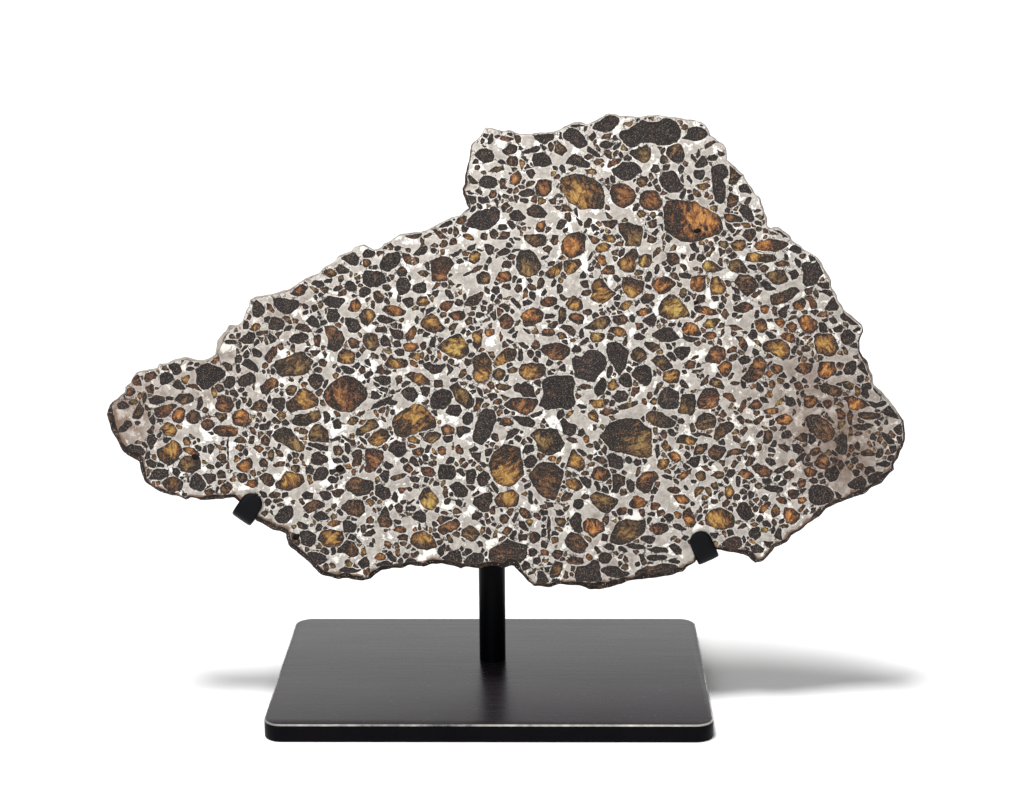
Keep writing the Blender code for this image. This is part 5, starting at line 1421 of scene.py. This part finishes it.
def polished_olivine():
    """Olivine cut and polished flush: near-black body, light from its depth, bright broken specks."""
    material, tree, shader = new_material("polished_olivine")
    grain = add_node(tree, "ShaderNodeAttribute", attribute_name="grain").outputs["Vector"]
    gap = add_node(tree, "ShaderNodeAttribute", attribute_name="gap").outputs["Fac"]
    glow = add_node(tree, "ShaderNodeAttribute", attribute_name="glow").outputs["Fac"]
    body = add_node(tree, "ShaderNodeAttribute", attribute_name="stone_body").outputs["Color"]
    light = add_node(tree, "ShaderNodeAttribute", attribute_name="stone_light").outputs["Color"]
    # cleavage runs along each stone's own direction and breaks the light into patches 1 to 2 mm wide
    drawn = add_node(tree, "ShaderNodeMapping", {"Vector": grain, "Scale": (0.34, 0.62, 1.0)})
    bands = add_node(tree, "ShaderNodeTexNoise", {"Vector": drawn.outputs[0], "Scale": 1.0, "Detail": 3.0,
                                                  "Roughness": 0.5, "Distortion": 0.9})
    mottle = add_node(tree, "ShaderNodeTexNoise", {"Vector": grain, "Scale": 1.6, "Detail": 9.0, "Roughness": 0.8})
    fleck = add_node(tree, "ShaderNodeTexNoise", {"Vector": grain, "Scale": 3.4, "Detail": 4.0, "Roughness": 0.85})
    patch = add_node(tree, "ShaderNodeMath", {0: glow, 1: 0.34, 2: bands.outputs["Fac"]}, operation="MULTIPLY_ADD")
    lit = add_node(tree, "ShaderNodeMapRange", {"Value": patch.outputs[0], "From Min": 0.59, "From Max": 0.87})
    deep = add_node(tree, "ShaderNodeMapRange", {"Value": mottle.outputs["Fac"], "From Min": 0.4, "From Max": 0.62,
                                                 "To Min": 0.3, "To Max": 1.0})
    dark = add_node(tree, "ShaderNodeMix", {0: 1.0, 6: body, 7: deep.outputs[0]}, data_type="RGBA",
                    blend_type="MULTIPLY")
    # thin parts of a lit patch let more light through than its thick parts
    thin = add_node(tree, "ShaderNodeMapRange", {"Value": mottle.outputs["Fac"], "From Min": 0.38, "From Max": 0.62,
                                                 "To Min": 0.45, "To Max": 1.5})
    # the light is rust red where it comes through much stone, and golden where it comes through little
    depth = add_node(tree, "ShaderNodeMath", {0: fleck.outputs["Fac"], 1: 0.3, 2: patch.outputs[0]},
                     operation="MULTIPLY_ADD")
    golden = add_node(tree, "ShaderNodeMapRange", {"Value": depth.outputs[0], "From Min": 0.82, "From Max": 1.02})
    tinted = add_node(tree, "ShaderNodeMix", {0: golden.outputs[0], 6: linear("#dcb5a0"), 7: linear("#fffade")},
                      data_type="RGBA")
    tinting = add_node(tree, "ShaderNodeMix", {0: 1.0, 6: light, 7: tinted.outputs[2]}, data_type="RGBA",
                       blend_type="MULTIPLY")
    inner = add_node(tree, "ShaderNodeMix", {0: 1.0, 6: tinting.outputs[2], 7: thin.outputs[0]}, data_type="RGBA",
                     blend_type="MULTIPLY")
    colour = add_node(tree, "ShaderNodeMix", {0: lit.outputs[0], 6: dark.outputs[2], 7: inner.outputs[2]},
                      data_type="RGBA")
    # conchoidal chips and filled cracks catch the light as small specks
    chips = add_node(tree, "ShaderNodeMath", {0: mottle.outputs["Fac"], 1: 0.5, 2: fleck.outputs["Fac"]},
                     operation="MULTIPLY_ADD")
    glint = add_node(tree, "ShaderNodeMapRange", {"Value": chips.outputs[0], "From Min": 0.82, "From Max": 0.92,
                                                  "To Max": 0.85})
    glinting = add_node(tree, "ShaderNodeMix", {0: glint.outputs[0], 6: colour.outputs[2], 7: linear("#ab9c8b")},
                        data_type="RGBA")
    ragged = add_node(tree, "ShaderNodeMath", {0: mottle.outputs["Fac"], 1: 2.8, 2: gap},
                      operation="MULTIPLY_ADD")
    edge = add_node(tree, "ShaderNodeMapRange", {"Value": ragged.outputs[0], "From Min": 1.35, "From Max": 2.4,
                                                 "To Min": 0.85, "To Max": 0.0})
    edged = add_node(tree, "ShaderNodeMix", {0: edge.outputs[0], 6: glinting.outputs[2], 7: linear("#241d1b")},
                     data_type="RGBA")
    tree.links.new(edged.outputs[2], shader.inputs["Base Color"])
    rough = add_node(tree, "ShaderNodeMapRange", {"Value": mottle.outputs["Fac"], "To Min": 0.25, "To Max": 0.5})
    tree.links.new(rough.outputs[0], shader.inputs["Roughness"])
    bump = add_node(tree, "ShaderNodeBump", {"Height": mottle.outputs["Fac"], "Strength": 0.2,
                                             "Distance": 0.05 * MM})
    tree.links.new(bump.outputs[0], shader.inputs["Normal"])
    shader.inputs["IOR"].default_value = 1.67
    shader.inputs["Specular IOR Level"].default_value = 0.1
    return material


def weathered_crust():
    """The natural outside of the stone: oxidised iron and broken olivine, coarse and dull."""
    material, tree, shader = new_material("weathered_crust")
    place = add_node(tree, "ShaderNodeTexCoord").outputs["Object"]
    lumps = add_node(tree, "ShaderNodeTexNoise", {"Vector": place, "Scale": 350.0, "Detail": 8.0, "Roughness": 0.7})
    grains = add_node(tree, "ShaderNodeTexVoronoi", {"Vector": place, "Scale": 900.0})
    ramp = add_node(tree, "ShaderNodeValToRGB", {"Fac": lumps.outputs["Fac"]})
    ramp.color_ramp.elements[0].position = 0.32
    ramp.color_ramp.elements[0].color = linear("#0e0b0b")
    ramp.color_ramp.elements[1].position = 0.72
    ramp.color_ramp.elements[1].color = linear("#5e4839")
    ramp.color_ramp.elements.new(0.52).color = linear("#251b18")
    # where little crust is left, the ground metal shows between its lumps
    stain = add_node(tree, "ShaderNodeAttribute", attribute_name="stain").outputs["Fac"]
    left = add_node(tree, "ShaderNodeMath", {0: stain, 1: lumps.outputs["Fac"]}, operation="ADD")
    kept = add_node(tree, "ShaderNodeMapRange", {"Value": left.outputs[0], "From Min": 0.5, "From Max": 0.75})
    colour = add_node(tree, "ShaderNodeMix", {0: kept.outputs[0], 6: linear("#9d958c"), 7: ramp.outputs[0]},
                      data_type="RGBA")
    tree.links.new(colour.outputs[2], shader.inputs["Base Color"])
    height = add_node(tree, "ShaderNodeMath", {0: lumps.outputs["Fac"], 1: grains.outputs["Distance"]},
                      operation="ADD")
    bump = add_node(tree, "ShaderNodeBump", {"Height": height.outputs[0], "Strength": 0.6, "Distance": 0.25 * MM})
    tree.links.new(bump.outputs[0], shader.inputs["Normal"])
    shader.inputs["Roughness"].default_value = 0.8
    shader.inputs["Specular IOR Level"].default_value = 0.3
    return material


def blacked_steel(name, scale, low, high, rough, gloss=0.04, worn=0.0):
    """Mild steel bar, satin-rubbed and blacked: faint streaks along the rubbing, small pale specks."""
    material, tree, shader = new_material(name)
    place = add_node(tree, "ShaderNodeTexCoord").outputs["Object"]
    drawn = add_node(tree, "ShaderNodeMapping", {"Vector": place, "Scale": scale})
    streaks = add_node(tree, "ShaderNodeTexNoise", {"Vector": drawn.outputs[0], "Scale": 1.0, "Detail": 4.0,
                                                    "Roughness": 0.65})
    clouds = add_node(tree, "ShaderNodeTexNoise", {"Vector": place, "Scale": 45.0, "Detail": 4.0})
    both = add_node(tree, "ShaderNodeMath", {0: streaks.outputs["Fac"], 1: 0.6, 2: clouds.outputs["Fac"]},
                    operation="MULTIPLY_ADD")
    share = add_node(tree, "ShaderNodeMapRange", {"Value": both.outputs[0], "From Min": 0.55, "From Max": 1.05})
    colour = add_node(tree, "ShaderNodeMix", {0: share.outputs[0], 6: linear(low), 7: linear(high)},
                      data_type="RGBA")
    cells = add_node(tree, "ShaderNodeTexVoronoi", {"Vector": place, "Scale": 230.0})
    pick = add_node(tree, "ShaderNodeMath", {0: cells.outputs["Distance"], 1: 0.07}, operation="LESS_THAN")
    speck = add_node(tree, "ShaderNodeMath", {0: pick.outputs[0], 1: worn}, operation="MULTIPLY")
    specked = add_node(tree, "ShaderNodeMix", {0: speck.outputs[0], 6: colour.outputs[2], 7: linear("#8b8783")},
                       data_type="RGBA")
    tree.links.new(specked.outputs[2], shader.inputs["Base Color"])
    roughness = add_node(tree, "ShaderNodeMapRange", {"Value": streaks.outputs["Fac"], "To Min": rough - 0.07,
                                                      "To Max": rough + 0.07})
    tree.links.new(roughness.outputs[0], shader.inputs["Roughness"])
    bump = add_node(tree, "ShaderNodeBump", {"Height": streaks.outputs["Fac"], "Strength": 0.12,
                                             "Distance": 0.03 * MM})
    tree.links.new(bump.outputs[0], shader.inputs["Normal"])
    shader.inputs["Specular IOR Level"].default_value = gloss
    return material


# Rim grains

def grain_tree():
    """Geometry Nodes that scatter broken grains over the rim: how many, how large, and the seed."""
    tree = bpy.data.node_groups.new("crust_grains", "GeometryNodeTree")
    for name, kind in (("Rim", "Geometry"), ("Grains per m2", "Float"), ("Grain Size", "Float"), ("Seed", "Int"),
                       ("Crust", "Material")):
        tree.interface.new_socket(name, in_out="INPUT", socket_type="NodeSocket" + kind)
    tree.interface.new_socket("Grains", in_out="OUTPUT", socket_type="NodeSocketGeometry")
    given = add_node(tree, "NodeGroupInput").outputs
    spread = add_node(tree, "GeometryNodeDistributePointsOnFaces",
                      {"Mesh": given["Rim"], "Density": given["Grains per m2"], "Seed": given["Seed"]})
    grain = add_node(tree, "GeometryNodeMeshIcoSphere", {"Radius": given["Grain Size"], "Subdivisions": 1})
    shape = add_node(tree, "FunctionNodeRandomValue", {0: (0.5, 0.5, 0.4), 1: (1.5, 1.2, 0.8), "Seed": given["Seed"]},
                     data_type="FLOAT_VECTOR")
    placed = add_node(tree, "GeometryNodeInstanceOnPoints",
                      {"Points": spread.outputs["Points"], "Instance": grain.outputs["Mesh"],
                       "Rotation": spread.outputs["Rotation"], "Scale": shape.outputs[0]})
    real = add_node(tree, "GeometryNodeRealizeInstances", {"Geometry": placed.outputs[0]})
    finished = add_node(tree, "GeometryNodeSetMaterial", {"Geometry": real.outputs[0], "Material": given["Crust"]})
    add_node(tree, "NodeGroupOutput", {"Grains": finished.outputs[0]})
    return tree


def rim_grains(crust):
    """Broken grains standing a little out of the crust, all round the rim."""
    body = SliceMesh()
    rings = [ring for ring in rim_profile(resample(OUTLINE, RIM_STEP), 0.16)[1:-1]]
    numbers = []
    for ring in rings:
        ways = inward_ways(ring)
        numbers.append(body.add_points([(x + way[0] * GRAIN_SUNK, y + way[1] * GRAIN_SUNK, out)
                                        for (x, y, out), way in zip(ring, ways)]))
    for front, behind in zip(numbers, numbers[1:]):
        body.add_band(front, behind, METAL)
    obj = body.made("rim_crust_grains", [crust])
    tree = grain_tree()
    scatter = obj.modifiers.new("crust_grains", "NODES")
    scatter.node_group = tree
    given = {"Grains per m2": GRAINS, "Grain Size": GRAIN_SIZE, "Seed": SEED, "Crust": crust}
    for socket in tree.interface.items_tree:
        if socket.name in given:
            scatter[socket.identifier] = given[socket.name]
    seen = obj.evaluated_get(bpy.context.evaluated_depsgraph_get())
    plain = bpy.data.meshes.new_from_object(seen)
    obj.modifiers.remove(scatter)
    obj.data = plain
    return obj


# Stand

def rounded_plate(material, worn, sides):
    """The plate with its edges broken by a stone; its top edges are worn black with a painted highlight, and its
    sides and lower edges a darker black, painted shade.
    """
    steps = 10
    profile = [(PLATE_EDGE * (1 - math.sin(turn)), PLATE_EDGE * (1 - math.cos(turn)))
               for turn in (math.radians(22.5 * k) for k in range(5))]
    levels = [(inset, low) for inset, low in profile[::-1]][::-1]
    rings = []
    for inset, z in [(a, b) for a, b in levels] + [(a, PLATE_THICK - b) for a, b in levels[::-1]]:
        ring = []
        for quarter, (sx, sy) in enumerate(((1, 1), (-1, 1), (-1, -1), (1, -1))):
            for step in range(steps + 1):
                angle = math.radians(90 * (quarter + step / steps))
                reach = PLATE_CORNER - inset
                ring.append((sx * (PLATE_WIDTH / 2 - inset - reach) + reach * math.cos(angle),
                             sy * (PLATE_DEPTH / 2 - inset - reach) + reach * math.sin(angle), z))
        rings.append(ring)
    bm = bmesh.new()
    made = [[bm.verts.new(point) for point in ring] for ring in rings]
    for number, (lower, upper) in enumerate(zip(made, made[1:])):
        for i, vert in enumerate(lower):
            j = (i + 1) % len(lower)
            face = bm.faces.new((vert, lower[j], upper[j], upper[i]))
            # top edges: worn black with a painted highlight; sides and lower edges: the black with painted shade
            face.material_index = 1 if number >= len(levels) else 2
    bm.faces.new(made[0][::-1])
    bm.faces.new(made[-1])
    bmesh.ops.recalc_face_normals(bm, faces=bm.faces)
    mesh = bpy.data.meshes.new("plate_top_and_edges")
    bm.to_mesh(mesh)
    bm.free()
    mesh.shade_smooth()
    mesh.set_sharp_from_angle(angle=math.radians(30))
    return link_object("blacked_plate", mesh, [material, worn, sides])


def turned_post(material):
    """The round bar, its top end broken by a file."""
    sides = 64
    profile = [(POST_RADIUS, PLATE_THICK - 1.5 * MM)]
    profile += [(POST_RADIUS - 1.2 * MM * (1 - math.cos(turn)), POST_TOP - 1.2 * MM * (1 - math.sin(turn)))
                for turn in (math.radians(15 * k) for k in range(7))]
    bm = bmesh.new()
    rings = [[bm.verts.new((radius * math.cos(math.tau * i / sides),
                            POST_BACK + radius * math.sin(math.tau * i / sides), z)) for i in range(sides)]
             for radius, z in profile]
    for lower, upper in zip(rings, rings[1:]):
        for i in range(sides):
            j = (i + 1) % sides
            bm.faces.new((lower[i], lower[j], upper[j], upper[i]))
    bm.faces.new(rings[0][::-1])
    bm.faces.new(rings[-1])
    mesh = bpy.data.meshes.new("turned_post")
    bm.to_mesh(mesh)
    bm.free()
    mesh.shade_smooth()
    mesh.set_sharp_from_angle(angle=math.radians(35))
    return link_object("round_post", mesh, [material])


def smoothed_copy(node, name, material, levels):
    """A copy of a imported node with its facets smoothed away."""
    bm = bmesh.new()
    bm.from_mesh(node.data)
    bmesh.ops.remove_doubles(bm, verts=bm.verts, dist=0.002 * MM)
    bmesh.ops.dissolve_limit(bm, angle_limit=math.radians(1.0), verts=bm.verts, edges=bm.edges)
    mesh = bpy.data.meshes.new(name)
    bm.to_mesh(mesh)
    bm.free()
    mesh.materials.clear()
    for attribute in [a.name for a in mesh.attributes if a.name in ("custom_normal", "sharp_edge")]:
        mesh.attributes.remove(mesh.attributes[attribute])
    mesh.shade_smooth()
    obj = link_object(name, mesh, [material])
    rounding = obj.modifiers.new("rounding", "SUBSURF")
    rounding.levels = rounding.render_levels = levels
    return obj


# Studio

def softbox(name, place, aim, size, power):
    light = bpy.data.lights.new(name, "AREA")
    light.shape = "RECTANGLE"
    light.size, light.size_y = size
    light.energy = power
    obj = bpy.data.objects.new(name, light)
    bpy.context.scene.collection.objects.link(obj)
    obj.location = place
    obj.rotation_euler = (Vector(aim) - Vector(place)).to_track_quat("-Z", "Y").to_euler()
    return obj


def build_studio():
    material, tree, shader = new_material("matt_white_paper")
    place = add_node(tree, "ShaderNodeTexCoord").outputs["Object"]
    tooth = add_node(tree, "ShaderNodeTexNoise", {"Vector": place, "Scale": 60.0})
    tone = add_node(tree, "ShaderNodeMix", {0: tooth.outputs["Fac"], 6: linear("#f4f4f4"), 7: linear("#f7f7f7")},
                    data_type="RGBA")
    tree.links.new(tone.outputs[2], shader.inputs["Base Color"])
    shader.inputs["Roughness"].default_value = 0.9
    shader.inputs["Specular IOR Level"].default_value = 0.0
    mesh = bpy.data.meshes.new("studio_floor")
    reach = 9.0
    mesh.from_pydata([(-reach, -reach, 0), (reach, -reach, 0), (reach, reach, 0), (-reach, reach, 0)],
                     [], [(0, 1, 2, 3)])
    link_object("studio_floor", mesh, [material])
    softbox("front_softbox", (-0.5, -2.6, 1.3), (0, 0, 0.1), (2.4, 1.6), 36.0)
    # the lit backdrop that the plate mirrors, behind the camera's view
    softbox("backdrop_bank", (0.0, 2.2, 0.65), (0, 0, 0.1), (4.0, 0.95), 9.6)
    ceiling = bpy.data.lights.new("ceiling_bank", "SUN")
    ceiling.angle = math.radians(15)
    ceiling.energy = 3.4
    bank = bpy.data.objects.new("ceiling_bank", ceiling)
    bpy.context.scene.collection.objects.link(bank)
    bank.rotation_euler = Vector((0.18, 0.1, -1.0)).to_track_quat("-Z", "Y").to_euler()
    world = bpy.data.worlds.new("white_studio")
    world.use_nodes = True
    background = world.node_tree.nodes["Background"]
    background.inputs["Color"].default_value = linear("#ffffff")
    background.inputs["Strength"].default_value = 0.24
    bpy.context.scene.world = world


def set_camera():
    cp, sp = math.cos(CAMERA_DOWN), math.sin(CAMERA_DOWN)
    cy, sy = math.cos(CAMERA_LEFT), math.sin(CAMERA_LEFT)
    ahead = Vector((-sy * cp, cy * cp, -sp))
    level = Vector((cy, sy, 0))
    above = level.cross(ahead)
    right = level * math.cos(CAMERA_ROLL) + above * math.sin(CAMERA_ROLL)
    top = above * math.cos(CAMERA_ROLL) - level * math.sin(CAMERA_ROLL)
    data = bpy.data.cameras.new("photo_camera")
    data.sensor_width = 36
    data.lens = CAMERA_LENS
    data.clip_start = 0.01
    camera = bpy.data.objects.new("photo_camera", data)
    bpy.context.scene.collection.objects.link(camera)
    camera.matrix_world = Matrix.Translation(CAMERA_PLACE) @ Matrix((right, top, -ahead)).transposed().to_4x4()
    bpy.context.scene.camera = camera


def main():
    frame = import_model()
    nodes = frame["nodes"]
    stones = read_crystals(CRYSTALS)
    rng = random.Random(SEED)
    rim = rim_profile(resample(OUTLINE, RIM_STEP), 0.16)[0]
    stones += fill_between(stones, rim, rng)
    metal, olivine, crust = weathered_kamacite(), polished_olivine(), weathered_crust()
    cut_slice = build_slice(stones, [metal, olivine, crust])
    grains = rim_grains(crust)
    plate_finish = blacked_steel("blacked_plate_steel", (25, 700, 700), "#151115", "#201b1f", 0.27, 0.48, 0.2)
    # partly wear, partly painted highlight: the top edges' pale streaks also stand in for a bright line of light
    # along them
    edge_wear_and_highlight_finish = blacked_steel("rubbed_edge_and_painted_highlight_steel", (300, 300, 300), "#100e15", "#c4bfba", 0.3, 0.2, 0.35)
    bar_finish = blacked_steel("blacked_bar_steel", (400, 400, 60), "#010102", "#040508", 0.32)
    hook_finish = blacked_steel("satin_hook_steel", (400, 400, 400), "#040507", "#0a0b10", 0.34, 0.1)
    # painted shade: the plate's sides and lower edges take a darker copy of its black than its top
    shaded_side_finish = blacked_steel("painted_shade_side_steel", (300, 300, 700), "#040306", "#0a080c", 0.4)
    plate = rounded_plate(plate_finish, edge_wear_and_highlight_finish, shaded_side_finish)
    post = turned_post(bar_finish)
    left = smoothed_copy(nodes["left_arm"], "left_hook_arm", hook_finish, 1)
    right = smoothed_copy(nodes["right_arm"], "right_hook_arm", hook_finish, 1)
    for piece, node, slot in ((cut_slice, "pallasite_slice", "meteorite"), (grains, "pallasite_slice", "meteorite"),
                              (plate, "base_plate", "black_steel"),
                              (post, "post", "black_steel"), (left, "left_arm", "black_steel"),
                              (right, "right_arm", "black_steel")):
        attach(piece, "root")
        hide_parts(node)
    build_studio()
    set_camera()
    bpy.context.scene.view_settings.view_transform = "Standard"


main()
